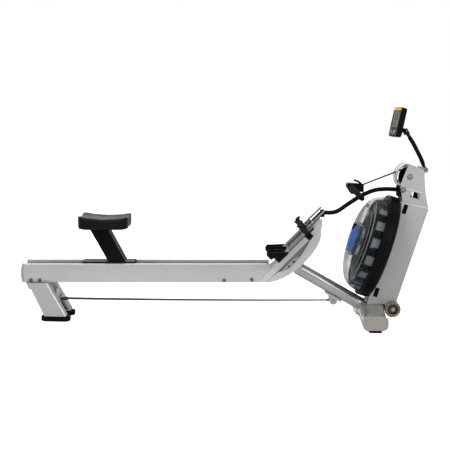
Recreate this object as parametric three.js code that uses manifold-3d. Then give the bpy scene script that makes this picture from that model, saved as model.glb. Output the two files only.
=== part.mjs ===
// Water rowing machine, in millimetres, +Z up, rower's side towards -X, tank towards +X.
// The frame is drawn along its rails: u runs from the rear end of the rails to the tank,
// y across them, and w up from their underside. The whole frame then climbs by the rake.
import * as THREE from "three";
import { mergeVertices } from "three/addons/utils/BufferGeometryUtils.js";
import Module from "manifold-3d";

const wasm = await Module();
wasm.setup();

// Driving dimensions

const degree = Math.PI / 180;
const gap = 0.3;
const overrun = 8;
const rake = 1.2 * degree;
const railLift = 193.5;

const rail = {
  length: 1250, height: 94, depth: 37, halfGap: 65, bulge: 3, corner: 5,
  channelFloor: 38, channelTop: 84, channelDepth: 27, wall: 7, hollowTop: 30,
};
const railCap = { thickness: 5, bulge: 9 };
const ramp = { slope: 45 * degree, lap: 64, thickness: 31, tipRun: 17, run: 326, tipRise: 2 };
const bow = { inset: 3, shadowGap: 7, bulgeShare: 0.42, openingDepth: 24 };
const leg = {
  topRear: 18, topFront: 124, bottomRear: 108, bottomFront: 215, notch: 31, notchRun: 14,
  width: 78, centre: 91, wall: 5, lip: 10,
};
const rearPad = { length: 148, width: 84, height: 27 };
const hookPlate = { rear: 158, thickness: 6, top: 40, bottom: 132, lug: 4 };
const bungee = { radius: 3.5, sag: 5 };
const bungeePulley = { radius: 18, grooveDepth: 5, width: 12, bore: 5, lip: 1.2, slack: 1.5,
  fromRear: 194, height: -97, lugShare: 0.6, wrapSteps: 8 };
const strut = { height: 65, width: 84, wall: 4, topAhead: 206, topRise: 63, footSetback: 42, footRise: 17 };
const strutHead = { radius: 21 };
const ear = { ahead: 185, drop: 168, radius: 21, thickness: 5, spread: 22, boltRadius: 5 };
const foot = {
  ahead: 582, width: 125, height: 72, half: 256, top: -145, archRise: 43, flat: 46, round: 26,
};
const footCap = { thickness: 6, corner: 24 };
const frontPad = { length: 64, width: 40, inset: 24 };
const tower = {
  lean: 18.2 * degree, setback: 24, depth: 140, half: 75, plate: 4, seamDrop: 7.8, headRise: 78,
  noseRise: 110, headLift: 2, slotWidth: 16, slotHeight: 42, slotInset: 18, slotDrop: 55, slotLow: 50,
  coverInset: 6, coverLow: 66, panelLow: 14,
};
const head = { noseBack: 36, crest: 54, cutBack: 43, corner: 6 };
const windowCut = { along: 28, rise: 34, height: 30, width: 50, taperShare: 0.16 };
const wheelLug = { radius: 20, sweep: 135 * degree };
const ropePulley = { inset: 0.2, drop: 61.9, radius: 50, groove: 7, width: 18, axle: 6, hub: 13,
  hubWidth: 34 };
const guard = { radius: 68, thickness: 4, half: 43, from: 94 * degree, to: 215 * degree, endSpan: 12 * degree,
  tabSpan: [56, 38], tabDrop: 36,
  slotHalf: 9, slotFrom: 138 * degree, slotTo: 190 * degree };
const tank = { lift: 25.9, radius: 267, wall: 4, backDepth: 42, bowlDepth: 178,
  lip: 9, lipShare: 1.4, flange: 6, recess: 84, recessDepth: 36, insetShares: [0.8, 0.7],
  bowlShares: [
    [0.94, 0.35], [0.925, 0.5], [0.88, 0.66], [0.8, 0.79], [0.7, 0.88], [0.58, 0.945], [0.46, 0.98],
  ] };
const impeller = { shaft: 9, drum: 46, drumWidth: 26, drumSetback: 58, blades: 6, bladeOuter: 128,
  bladeInner: 20, bladeThickness: 5, bladeDepth: 32, discRadius: 66, clearance: 3, flange: 3 };
const baffle = { outer: 172, inner: 162, from: 60, shoulder: 110, neck: 132, ribs: 6, rib: 6, ribOuter: 234,
  ribDepth: 26 };
const water = { inner: 136, level: 40 };
const dial = { radius: 74, thickness: 32, crown: 9, bossRadius: 18, bossHeight: 6, grips: 8, gripDepth: 7 };
const dialKnob = { size: 34, height: 26, radius: 58 };

const rest = { radius: 11, seatGap: 0.75, bracketBelowShare: 0.6, bracketAboveShare: 0.33, bracketWidth: 46,
  bracketHeight: 54, bracketDepth: 16,
  startAhead: 18, startRise: 21, endSetback: 36.7, endDrop: 80.5,
  routeShares: [
    [0, 0], [0.082, 0], [0.145, 0.025], [0.202, 0.1], [0.339, 0.388], [0.473, 0.645], [0.574, 0.81],
    [0.708, 0.959], [0.861, 1], [1, 0.983],
  ] };
const handle = {
  placeShare: 0.344, seatChecks: 90, half: 232, bendPower: 1.6, sweep: 42, droop: 50, barRadius: 9,
  gripRadius: 14.5, yokeWidth: 86, yokeTip: 24, yokeReach: 73, yokeDrop: 34, flankShare: 0.8, ropeRise: 7,
  fingerRadius: 4.2, fingerShares: [[0.82, 0.05], [0.8, 0.14], [0.66, 0.26], [0.47, 0.34], [0.33, 0.39]],
};
const rope = { radius: 2.6, wrapSteps: 8,
  downShares: [[0.3, 5], [0.85, 2]], upShares: [[-0.85, 2], [-0.8, 4]] };

const carriage = { rear: 293, front: 561, half: 61, top: 101, thickness: 6, wall: 5, skirt: 56 };
const roller = { radius: 20, width: 18, axle: 6, inset: 34, spigot: 4, crown: 2 };
const post = { topRear: 336, topFront: 427, bottomRear: 427, bottomFront: 514, top: 264, width: 120, wall: 6,
  frontShare: 1.5, flange: 5, topFlange: 30 };
const seat = { rear: 281, front: 534, width: 304, thickness: 54, dish: 15, crown: 6, lean: 5, squareness: 4.5,
  topShare: 0.62, wallShare: 0.34, faceShare: 0.42, drawShare: 0.16, middleShare: 0.5 };

const shoe = { centre: 118, width: 104, thickness: 6, lift: 12, start: 152, end: 404 };
const tonguePlate = { lap: 30, end: 496, half: 15, hole: 4, holes: 3, pitch: 26, firstShare: 0.6 };
const heel = { rear: 134, step: 18, front: 222, lean: 20, top: 76, notchTop: 41, wall: 4, width: 114 };
const strap = { width: 40, thickness: 4, rise: 30, along: 342, outer: 62, shoulder: 30 };
const toe = { along: 336, width: 62, thickness: 6, lift: 0.6, armEnd: 476, socketShare: 1.4 };
const adjusterKnob = { radius: 12, height: 20, stem: 5, rise: 34 };

const wheel = { inset: 9.7, rise: 16.6, radius: 41, width: 24, bore: 6, hub: 10, coreRadius: 25, recess: 3,
  spokes: 12, clearance: 3 };
const wheelAxle = { radius: 5.6, headRadius: 9, headHeight: 6 };
const arm = { radius: 8.5, clampRadius: 14, clampWidth: 36, pinRadius: 5, pinShare: 1.5, bracketDepth: 26,
  earShare: 0.7, forkThickness: 5, bridgeShare: 1.6, setback: 15.1, drop: 2.4, pivotRun: -104, pivotRise: 198,
  neckRun: 17, neckDrop: 22,
  routeShares: [[0, 0], [0.069, 0.102], [0.138, 0.205], [0.402, 0.483], [0.69, 0.75], [1, 1]] };
const consoleCase = { width: 92, height: 150, depth: 30, corner: 12, lean: 13.2 * degree, yaw: 19 * degree,
  reach: 35, pivotHeight: 42, lugRadius: 12, lugWidth: 26, neckShare: 0.8 };
const screen = { inset: 9, sillShare: 0.3, headShare: 0.14, thickness: 3 };
const button = { radius: 7, travel: 2, height: 6, spacing: 30, row: 23, proud: 3 };

const colours = {
  silver: 0xcfd0d2, legGrey: 0xb4b4b4, towerGrey: 0xa6a6a4, capGrey: 0xaaa69c, black: 0x17171b,
  blue: 0x0a50c0, clear: 0xc8d4d8, water: 0x6f8487, steel: 0xd8d8d8, urethane: 0xc9b683,
  boardGrey: 0x97979b, amber: 0xf2b01e, glass: 0x86957f, rubber: 0x101012,
};

// Places that follow from the driving dimensions. The tower has axes of its own: p, from its front
// panel to the rear, and q, up along its edges.

const rampFoot = rail.length - ramp.lap;
const rampTip = rampFoot + ramp.tipRun;
const rampEnd = rampFoot + ramp.run;
const footCentre = rampFoot + foot.ahead;
const towerBaseU = footCentre - tower.setback;
const towerBaseW = foot.top + archRiseAt(tower.half - tower.plate) + gap;
const tankQ = tank.lift + tank.radius;
const seamQ = tankQ + tank.radius - tower.seamDrop;
const foldQ = seamQ + tower.headRise;
const topQ = foldQ + tower.noseRise;

function fromTower(p, q) {
  const c = Math.cos(tower.lean);
  const s = Math.sin(tower.lean);
  return { p, q, u: towerBaseU + p * c + q * s, w: towerBaseW - p * s + q * c };
}

const pulleyAt = fromTower(ropePulley.inset, topQ - ropePulley.drop);
const wheelAt = fromTower(tower.depth - wheel.inset, wheel.rise);
const armAt = fromTower(head.crest + arm.setback, topQ - arm.drop);
const pivotAt = { u: armAt.u + arm.pivotRun, w: armAt.w + arm.pivotRise };
const strutTop = { u: rampFoot + strut.topAhead, w: strut.topRise };
const strutFoot = { u: footCentre - strut.footSetback, w: foot.top + strut.footRise };
const earAt = { u: strutTop.u + ear.ahead, w: strutTop.w - ear.drop };
const restStart = { u: rampEnd + rest.startAhead, w: rampLine(rampEnd) + rest.startRise };
const restEnd = fromTower(pulleyAt.p - rest.endSetback, pulleyAt.q - rest.endDrop);

// A place on the handle rest, as shares of its run and of its rise.
function alongRest([run, rise]) {
  const [, lastRise] = rest.routeShares[rest.routeShares.length - 1];
  return {
    u: restStart.u + run * (restEnd.u - restStart.u),
    w: restStart.w + (rise / lastRise) * (restEnd.w - restStart.w),
  };
}

// The underside of the handle's yoke, from the bar to the end where the rope leaves.
const yokeUnderside = [
  [-handle.gripRadius, -handle.barRadius], [-handle.barRadius, -handle.gripRadius],
  [handle.barRadius, -handle.gripRadius], [handle.yokeReach / 2, -handle.yokeDrop * handle.flankShare],
  [handle.yokeReach, -handle.yokeDrop],
];

// The height at which the yoke just clears the top of the rest that it lies on.
function seatedHeight(u) {
  const route = new Route(restPoints());
  const heights = [];
  for (let i = 0; i <= handle.seatChecks; i += 1) {
    const share = i / handle.seatChecks;
    const middle = route.getPoint(share);
    const along = route.getTangent(share);
    const x = middle.x - rest.radius * along.z - u;
    const top = middle.z + rest.radius * along.x;
    yokeUnderside.slice(1).forEach(([x1, z1], k) => {
      const [x0, z0] = yokeUnderside[k];
      if (x >= x0 && x <= x1) heights.push(top - z0 - ((z1 - z0) * (x - x0)) / (x1 - x0));
    });
  }
  return Math.max(...heights) + gap;
}

function restPoints() {
  return rest.routeShares.map(alongRest).map(({ u, w }) => new THREE.Vector3(u, 0, w));
}

// Drawing helpers

const axisU = new THREE.Vector3(1, 0, 0);
const axisY = new THREE.Vector3(0, 1, 0);
const axisW = new THREE.Vector3(0, 0, 1);
const alongRail = new THREE.Matrix4().makeBasis(axisY, axisW, axisU);
const standing = new THREE.Matrix4().makeRotationX(Math.PI / 2);

function outline(points) {
  return new THREE.Shape(points.map(([x, y]) => new THREE.Vector2(x, y)));
}

// A flat outline in u and w, as thick as the distance between two places across the machine.
function slab(shape, from, to, curveSegments = 12) {
  const made = new THREE.ExtrudeGeometry(shape, { depth: to - from, bevelEnabled: false, curveSegments });
  return made.applyMatrix4(standing).translate(0, to, 0);
}

// An outline in y and w, drawn out along u.
function bar(shape, from, to, curveSegments = 8) {
  const made = new THREE.ExtrudeGeometry(shape, { depth: to - from, bevelEnabled: false, curveSegments });
  return made.applyMatrix4(alongRail).translate(from, 0, 0);
}

function block(u0, u1, y0, y1, w0, w1) {
  const made = new THREE.BoxGeometry(u1 - u0, y1 - y0, w1 - w0);
  return made.translate((u0 + u1) / 2, (y0 + y1) / 2, (w0 + w1) / 2);
}

// A turned piece about local Z.
function turned(profile, segments = 32) {
  const points = profile.map(([r, z]) => new THREE.Vector2(r, z));
  const ordered = THREE.ShapeUtils.area(points) < 0 ? points.reverse() : points;
  return new THREE.LatheGeometry(ordered, segments).rotateX(Math.PI / 2);
}

function rod(radius, length, segments = 16) {
  return new THREE.CylinderGeometry(radius, radius, length, segments).rotateX(Math.PI / 2);
}

function acrossRod(radius, from, to, segments = 16) {
  const made = new THREE.CylinderGeometry(radius, radius, to - from, segments);
  return made.translate(0, (from + to) / 2, 0);
}

function circle(radius, sides) {
  const points = [];
  for (let i = 0; i < sides; i += 1) {
    const turn = (2 * Math.PI * i) / sides;
    points.push([radius * Math.cos(turn), radius * Math.sin(turn)]);
  }
  return outline(points);
}

// A smooth route whose steps follow its chosen points, so they are close where the points are.
class Route extends THREE.CatmullRomCurve3 {
  constructor(points) {
    super(points, false, "centripetal");
  }

  getPointAt(share, target) {
    return this.getPoint(share, target);
  }

  getTangentAt(share, target) {
    return this.getTangent(share, target);
  }
}

const handleU = restStart.u + handle.placeShare * (restEnd.u - restStart.u);
const handleAt = { u: handleU, w: seatedHeight(handleU) };

function tube(curve, section, steps) {
  return new THREE.ExtrudeGeometry(section, { steps, bevelEnabled: false, extrudePath: curve });
}

function roundedRectangle(width, height, radius) {
  const x = width / 2;
  const y = height / 2;
  const r = Math.min(radius, x, y);
  const shape = new THREE.Shape();
  shape.moveTo(-x + r, -y);
  shape.lineTo(x - r, -y);
  shape.absarc(x - r, -y + r, r, -Math.PI / 2, 0);
  shape.lineTo(x, y - r);
  shape.absarc(x - r, y - r, r, 0, Math.PI / 2);
  shape.lineTo(-x + r, y);
  shape.absarc(-x + r, y - r, r, Math.PI / 2, Math.PI);
  shape.lineTo(-x, -y + r);
  shape.absarc(-x + r, -y + r, r, Math.PI, 1.5 * Math.PI);
  return shape;
}

// Joining and cutting of closed solids

function toSolid(geometry) {
  const bare = geometry.index ? geometry.toNonIndexed() : geometry.clone();
  bare.deleteAttribute("normal");
  bare.deleteAttribute("uv");
  const merged = mergeVertices(bare, 1e-3);
  const mesh = new wasm.Mesh({
    numProp: 3,
    vertProperties: merged.attributes.position.array,
    triVerts: new Uint32Array(merged.index.array),
  });
  return new wasm.Manifold(mesh);
}

function toGeometry(solid) {
  const mesh = solid.getMesh();
  const indexed = new THREE.BufferGeometry();
  indexed.setAttribute("position", new THREE.BufferAttribute(mesh.vertProperties, 3));
  indexed.setIndex(new THREE.BufferAttribute(mesh.triVerts, 1));
  const flat = indexed.toNonIndexed();
  flat.computeVertexNormals();
  return flat;
}

function join(...geometries) {
  return toGeometry(geometries.map(toSolid).reduce((whole, next) => whole.add(next)));
}

function cut(geometry, ...tools) {
  return toGeometry(tools.map(toSolid).reduce((whole, next) => whole.subtract(next), toSolid(geometry)));
}

function common(geometry, other) {
  return toGeometry(toSolid(geometry).intersect(toSolid(other)));
}

function material(color, roughness = 0.5, metalness = 0) {
  return new THREE.MeshStandardMaterial({ color, roughness, metalness });
}

const finish = {
  silver: material(colours.silver, 0.35, 0.8),
  legs: material(colours.legGrey, 0.45, 0.5),
  tower: material(colours.towerGrey, 0.45, 0.5),
  caps: material(colours.capGrey, 0.55),
  black: material(colours.black, 0.5),
  blue: material(colours.blue, 0.4),
  clear: material(colours.clear, 0.1),
  water: material(colours.water, 0.1),
  steel: material(colours.steel, 0.25, 0.9),
  urethane: material(colours.urethane, 0.4),
  boards: material(colours.boardGrey, 0.5),
  amber: material(colours.amber, 0.4),
  glass: material(colours.glass, 0.15),
  rubber: material(colours.rubber, 0.8),
};

const machine = new THREE.Group();

// Names a piece, gives it its finish and places it by its own centre or pivot.
function piece(name, geometry, look, u = 0, y = 0, w = 0, parent = machine) {
  const mesh = new THREE.Mesh(geometry, look);
  mesh.name = name;
  mesh.position.set(u, y, w);
  parent.add(mesh);
  return mesh;
}

const sides = [["near", -1], ["far", 1]];

// Height of the floor below the rails' underside at a place along them.
function floorAt(u) {
  return -(railLift + u * Math.sin(rake)) / Math.cos(rake);
}

// Rails: an aluminium section with a roller channel open to the inside and a hollow below it,
// closed at the rear by a rounded cap

function railShape(side) {
  const s = side;
  const inner = s * rail.halfGap;
  const outer = s * (rail.halfGap + rail.depth - rail.bulge);
  const shape = new THREE.Shape();
  shape.moveTo(inner, 0);
  shape.lineTo(outer - s * rail.corner, 0);
  shape.quadraticCurveTo(outer, 0, outer, rail.corner);
  shape.quadraticCurveTo(outer + s * 2 * rail.bulge, rail.height / 2, outer, rail.height - rail.corner);
  shape.quadraticCurveTo(outer, rail.height, outer - s * rail.corner, rail.height);
  shape.lineTo(inner, rail.height);
  shape.lineTo(inner, rail.channelTop);
  shape.lineTo(inner + s * rail.channelDepth, rail.channelTop);
  shape.lineTo(inner + s * rail.channelDepth, rail.channelFloor);
  shape.lineTo(inner, rail.channelFloor);
  shape.closePath();
  return shape;
}

function railHollow(side) {
  const inner = side * (rail.halfGap + rail.wall);
  const outer = side * (rail.halfGap + rail.depth - rail.bulge - rail.wall);
  return outline([[inner, rail.wall], [outer, rail.wall], [outer, rail.hollowTop], [inner, rail.hollowTop]]);
}

function railOutline(side) {
  const s = side;
  const height = rail.height;
  const inner = s * rail.halfGap;
  const outer = s * (rail.halfGap + rail.depth - rail.bulge);
  const shape = new THREE.Shape();
  shape.moveTo(inner, 0);
  shape.lineTo(outer, 0);
  shape.quadraticCurveTo(outer + s * 2 * rail.bulge, height / 2, outer, height);
  shape.lineTo(inner, height);
  shape.closePath();
  return shape;
}

const rampDrop = ramp.thickness / Math.cos(ramp.slope);
const outerFace = rail.halfGap + rail.depth;

function rampLine(u, below = 0) {
  return (u - rampFoot) * Math.tan(ramp.slope) - below;
}

function makeRails() {
  for (const [place, side] of sides) {
    const under = [
      [rampTip, -overrun],
      [rampTip, rampLine(rampTip) + gap],
      [rail.length + overrun, rampLine(rail.length + overrun) + 2 * gap],
      [rail.length + overrun, -overrun],
    ];
    const mitre = slab(outline(under), -outerFace - overrun, outerFace + overrun);
    const hollow = bar(railHollow(side), -overrun, rail.length + overrun);
    const capOuter = new THREE.Shape();
    capOuter.moveTo(railCap.thickness, 0);
    capOuter.lineTo(-railCap.thickness, 0);
    capOuter.quadraticCurveTo(-railCap.thickness - 2 * railCap.bulge, rail.height / 2, -railCap.thickness,
      rail.height);
    capOuter.lineTo(railCap.thickness, rail.height);
    capOuter.closePath();
    const low = Math.min(side * rail.halfGap, side * outerFace);
    const high = Math.max(side * rail.halfGap, side * outerFace);
    const cap = common(slab(capOuter, low, high), bar(railOutline(side), -outerFace, outerFace));
    const drawn = cut(bar(railShape(side), 0, rail.length), mitre, hollow);
    piece(`rail_${place}`, join(drawn, cap), finish.silver);
  }
}

// Rear legs: bent plates open to the inside, on black rubber feet

function makeRearLegs() {
  for (const [place, side] of sides) {
    const middle = side * leg.centre;
    const from = middle - leg.width / 2;
    const to = middle + leg.width / 2;
    const footRear = floorAt(leg.bottomRear) + rearPad.height + gap;
    const footFront = floorAt(leg.bottomFront) + rearPad.height + gap;
    const topRearAtNotch = leg.topRear + leg.notchRun;
    const frontWall = leg.wall;
    const edge = [
      [leg.topRear, -gap],
      [topRearAtNotch, -leg.notch],
      [topRearAtNotch + leg.lip, -leg.notch],
      [leg.bottomRear, footRear],
      [leg.bottomFront, footFront],
      [leg.topFront, -gap],
    ];
    const hollow = [
      [topRearAtNotch + leg.lip + 3 * frontWall, -leg.notch],
      [leg.bottomRear + 2 * frontWall, footRear + frontWall],
      [leg.bottomFront - 2 * frontWall, footFront + frontWall],
      [leg.topFront - 2 * frontWall, -leg.notch],
    ];
    const inside = side < 0 ? [from + leg.wall, to + overrun] : [from - overrun, to - leg.wall];
    const shell = cut(slab(outline(edge), from, to), slab(outline(hollow), ...inside));
    piece(`rear_leg_${place}`, shell, finish.legs);

    const pad = new THREE.ExtrudeGeometry(
      roundedRectangle(rearPad.length, rearPad.height, rearPad.height / 2),
      { depth: rearPad.width, bevelEnabled: false, curveSegments: 6 },
    );
    pad.applyMatrix4(standing).translate(0, rearPad.width / 2, 0);
    const middleU = (leg.bottomRear + leg.bottomFront) / 2;
    const level = levelGroup(middleU);
    const sole = rearPad.height / 2;
    const flatTop = block(-rearPad.length, rearPad.length, -rearPad.width, rearPad.width, -sole, sole);
    piece(`rear_foot_${place}`, common(pad, flatTop), finish.rubber, 0, middle, sole, level);
  }
}

// A group that stands level on the floor below a place along the rails.
function levelGroup(u) {
  const group = new THREE.Group();
  group.position.set(u, 0, floorAt(u));
  group.rotation.y = rake;
  machine.add(group);
  return group;
}

// Plate between the rear legs, with the lugs and the pin of the cord's rear pulley

function makeHookPlate() {
  const reach = leg.centre - leg.width / 2 - gap;
  const plate = block(hookPlate.rear, hookPlate.rear + hookPlate.thickness, -reach, reach,
    -hookPlate.bottom, -hookPlate.top);
  const half = bungeePulley.width / 2 + 2 * gap;
  const lugHalf = bungeePulley.radius * bungeePulley.lugShare;
  const lugEnd = bungeePulley.fromRear + bungeePulley.bore * 2;
  const lugs = [-half - hookPlate.lug, half].map((low) => block(
    hookPlate.rear, lugEnd, -lugHalf, lugHalf, bungeePulley.height + low,
    bungeePulley.height + low + hookPlate.lug,
  ));
  const pin = rod(bungeePulley.bore - gap, 2 * (half + hookPlate.lug + gap), 14);
  pin.translate(bungeePulley.fromRear, 0, bungeePulley.height);
  piece("rear_cross_plate", join(plate, ...lugs, pin), finish.legs);
}

// Foot ramp: two bars at 45 degrees, joined by cross plates at the heels and at the toes

function makeRamp() {
  const tip = ramp.tipRise;
  const topU = rampEnd;
  const lowerU = rampFoot + rampDrop + tip;
  const edge = [
    [rampTip + gap, tip],
    [lowerU, tip],
    [topU + gap, rampLine(topU + gap, rampDrop)],
    [topU, rampLine(topU)],
    [rampTip + gap, rampLine(rampTip + gap) - gap],
  ];
  const crossFrom = -rail.halfGap - overrun;
  const bars = sides.map(([, side]) => {
    const a = side * rail.halfGap;
    const b = side * outerFace;
    return slab(outline(edge), Math.min(a, b), Math.max(a, b));
  });
  const crossPlate = (along, length) => {
    const u = rampFoot + along * Math.cos(ramp.slope);
    const v = u + length * Math.cos(ramp.slope);
    const depth = ramp.thickness / 3 / Math.cos(ramp.slope);
    const strip = [
      [u, rampLine(u, depth)], [u, rampLine(u, 2 * depth)],
      [v, rampLine(v, 2 * depth)], [v, rampLine(v, depth)],
    ];
    return slab(outline(strip), crossFrom, -crossFrom);
  };
  const heelPlate = crossPlate(ramp.thickness * 5, ramp.thickness * 2);
  const toePlate = crossPlate(ramp.thickness * 9, ramp.thickness * 5);
  piece("foot_ramp", join(bars[0], bars[1], heelPlate, toePlate), finish.silver);
}

// Bowed beams that carry the rails on below the ramp

function makeBows() {
  const lineGap = bow.shadowGap / Math.cos(ramp.slope);
  const startU = rampFoot + rampDrop + ramp.tipRise + 2 * gap;
  const endU = rampEnd - 2 * ramp.tipRise;
  const span = endU - startU;
  const endW = rampLine(endU, rampDrop) - gap * 2;
  const shape = new THREE.Shape();
  shape.moveTo(startU, 0);
  shape.bezierCurveTo(startU + bow.bulgeShare * span, gap, endU, endW - bow.bulgeShare * span, endU,
    endW - ramp.thickness);
  shape.lineTo(endU, endW);
  shape.lineTo(endU - ramp.thickness, rampLine(endU - ramp.thickness, rampDrop) - gap * 2);
  const openFrom = startU + 2 * ramp.thickness;
  const openTo = endU - 2 * ramp.thickness;
  const openDepth = (2 * bow.openingDepth) / Math.cos(ramp.slope);
  const openMiddle = (openFrom + openTo) / 2;
  shape.lineTo(openTo, rampLine(openTo, rampDrop + lineGap));
  shape.quadraticCurveTo(openMiddle, rampLine(openMiddle, rampDrop + lineGap + openDepth), openFrom,
    rampLine(openFrom, rampDrop + lineGap));
  shape.lineTo(startU + ramp.thickness, rampLine(startU + ramp.thickness, rampDrop) - gap * 2);
  shape.lineTo(startU, gap);
  shape.closePath();
  for (const [place, side] of sides) {
    const a = side * (rail.halfGap + bow.inset);
    const b = side * (outerFace - bow.inset);
    piece(`bowed_beam_${place}`, slab(shape, Math.min(a, b), Math.max(a, b), 16), finish.silver);
  }
}

// Strut: an oval tube from the bowed beams down to the front foot

function makeStrut() {
  const run = Math.hypot(strutFoot.u - strutTop.u, strutFoot.w - strutTop.w);
  const fall = Math.atan2(strutTop.w - strutFoot.w, strutFoot.u - strutTop.u);
  const shape = roundedRectangle(strut.width, strut.height, strut.height / 2);
  const inner = roundedRectangle(strut.width - 2 * strut.wall, strut.height - 2 * strut.wall,
    strut.height / 2);
  const outerTube = bar(shape, 0, run, 5);
  const bore = bar(inner, -overrun, run - foot.width / 2, 4);
  const reach = rail.halfGap + bow.inset - gap;
  const cross = acrossRod(strutHead.radius, -reach, reach, 20);
  const group = new THREE.Group();
  group.position.set(strutTop.u, 0, strutTop.w);
  group.rotation.y = fall;
  machine.add(group);
  group.updateMatrix();
  const intoStrut = group.matrix.clone().invert();
  const ears = cordEars().applyMatrix4(intoStrut);
  const seat = footBar(gap).applyMatrix4(intoStrut);
  piece("front_strut", cut(join(outerTube, cross, ears), bore, seat), finish.silver, 0, 0, 0, group);
}

// Ears welded under the strut, which hold the cord's front end on a bolt.
function cordEars() {
  const slope = (strutTop.w - strutFoot.w) / (strutFoot.u - strutTop.u);
  const half = strut.height / 2 / Math.cos(Math.atan(slope));
  const under = (u) => strutTop.w - (u - strutTop.u) * slope - half + strut.wall / 2;
  const earShape = new THREE.Shape();
  earShape.moveTo(ear.radius, 0);
  earShape.absarc(0, 0, ear.radius, 0, -Math.PI, true);
  earShape.lineTo(-ear.radius, under(earAt.u - ear.radius) - earAt.w - ear.thickness);
  earShape.lineTo(ear.radius, under(earAt.u + ear.radius) - earAt.w - ear.thickness);
  earShape.closePath();
  const plates = sides.map(([, side]) => {
    const a = side * ear.spread;
    const b = side * (ear.spread + ear.thickness);
    return slab(earShape, Math.min(a, b), Math.max(a, b), 8);
  });
  const saddleRun = 2 * ear.radius;
  const saddle = slab(outline([
    [-saddleRun, under(earAt.u - saddleRun) - earAt.w],
    [-saddleRun, under(earAt.u - saddleRun) - earAt.w - ear.thickness - overrun],
    [saddleRun, under(earAt.u + saddleRun) - earAt.w - ear.thickness - overrun],
    [saddleRun, under(earAt.u + saddleRun) - earAt.w],
  ]), -ear.spread - ear.thickness, ear.spread + ear.thickness);
  const bolt = acrossRod(ear.boltRadius, -ear.spread - 2 * ear.thickness, ear.spread + 2 * ear.thickness);
  return join(...plates, saddle, bolt).translate(earAt.u, 0, earAt.w);
}

// Shock cord: from a knot on the ears' bolt, back under the rails, round the rear pulley that lies
// flat between its lugs, and forward again beside itself to the same bolt

function makeBungee() {
  const around = bungeePulley.radius - bungeePulley.grooveDepth + bungee.radius + bungeePulley.slack;
  const startU = earAt.u - ear.boltRadius - gap;
  const route = [];
  const run = (share, side) => {
    const u = bungeePulley.fromRear + share * (startU - bungeePulley.fromRear);
    const chord = bungeePulley.height + share * (earAt.w - bungeePulley.height);
    const w = chord - 4 * bungee.sag * share * (1 - share);
    return new THREE.Vector3(u, side * around, w);
  };
  const shares = [1, 0.75, 0.5, 0.25, 0.05];
  shares.forEach((share) => route.push(run(share, -1)));
  for (let i = 0; i <= bungeePulley.wrapSteps; i += 1) {
    const turn = -Math.PI / 2 - (Math.PI * i) / bungeePulley.wrapSteps;
    route.push(new THREE.Vector3(
      bungeePulley.fromRear + around * Math.cos(turn), around * Math.sin(turn), bungeePulley.height,
    ));
  }
  shares.reverse().forEach((share) => route.push(run(share, 1)));
  piece("shock_cord", tube(new Route(route), circle(bungee.radius, 6), 2 * (route.length - 1)), finish.black);

  const groove = bungeePulley.radius - bungeePulley.grooveDepth;
  const half = bungeePulley.width / 2;
  const lip = half - bungeePulley.lip;
  const wheelProfile = [
    [bungeePulley.bore, -half], [bungeePulley.radius, -half], [bungeePulley.radius, -lip],
    [groove, -bungee.radius / 2], [groove, bungee.radius / 2], [bungeePulley.radius, lip],
    [bungeePulley.radius, half], [bungeePulley.bore, half],
  ];
  piece("cord_pulley", turned(close(wheelProfile), 18), finish.black, bungeePulley.fromRear, 0,
    bungeePulley.height);
}

// Front foot: a wide arched bar with end caps and rubber pads

function archRiseAt(y) {
  const share = Math.max(0, 1 - Math.abs(y) / (foot.half - foot.flat));
  return foot.archRise * share * share * (3 - 2 * share);
}

// The arched bar, with its section grown all round by a clearance.
function footBar(clearance) {
  const wide = foot.width + 2 * clearance;
  const section = roundedRectangle(wide, foot.height + 2 * clearance, foot.round + clearance);
  const made = new THREE.ExtrudeGeometry(section, {
    depth: 2 * foot.half, steps: 14, bevelEnabled: false, curveSegments: 3,
  });
  made.applyMatrix4(standing).translate(footCentre, foot.half, foot.top - foot.height / 2);
  const spots = made.attributes.position;
  for (let i = 0; i < spots.count; i += 1) {
    spots.setZ(i, spots.getZ(i) + archRiseAt(spots.getY(i)));
  }
  return made;
}

function makeFrontFoot() {
  piece("front_foot_bar", footBar(0), finish.legs);

  for (const [place, side] of sides) {
    const capShape = roundedRectangle(foot.width, foot.height, footCap.corner);
    const from = foot.half + gap;
    const a = side * from;
    const b = side * (from + footCap.thickness);
    const cap = slab(capShape, Math.min(a, b), Math.max(a, b), 4);
    piece(`foot_cap_${place}`, cap, finish.caps, footCentre, 0, foot.top - foot.height / 2);

    const padTop = foot.top - foot.height - gap;
    const level = levelGroup(footCentre);
    const height = padTop - floorAt(footCentre);
    const slope = (frontPad.length / 2) * Math.tan(rake);
    const base = outline([
      [-frontPad.length / 2 + height / 3, 0], [frontPad.length / 2 - height / 3, 0],
      [frontPad.length / 2, height / 3], [frontPad.length / 2, height + slope],
      [-frontPad.length / 2, height - slope], [-frontPad.length / 2, height / 3],
    ]);
    const y = side * (foot.half - frontPad.inset);
    const sole = slab(base, -frontPad.width / 2, frontPad.width / 2);
    piece(`front_foot_${place}`, sole, finish.rubber, 0, y, 0, level);
  }
}

// Tower: two folded side plates that lean back, closed in front by the panel that carries the tank

const towerGroup = new THREE.Group();
towerGroup.position.set(towerBaseU, 0, towerBaseW);
towerGroup.rotation.y = tower.lean;
machine.add(towerGroup);

function windowShape() {
  const low = seamQ + windowCut.rise;
  const taper = windowCut.width * windowCut.taperShare;
  return outline([
    [windowCut.along, low], [windowCut.along + windowCut.width, low],
    [windowCut.along + windowCut.width - taper, low + windowCut.height],
    [windowCut.along + taper, low + windowCut.height],
  ]);
}

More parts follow.
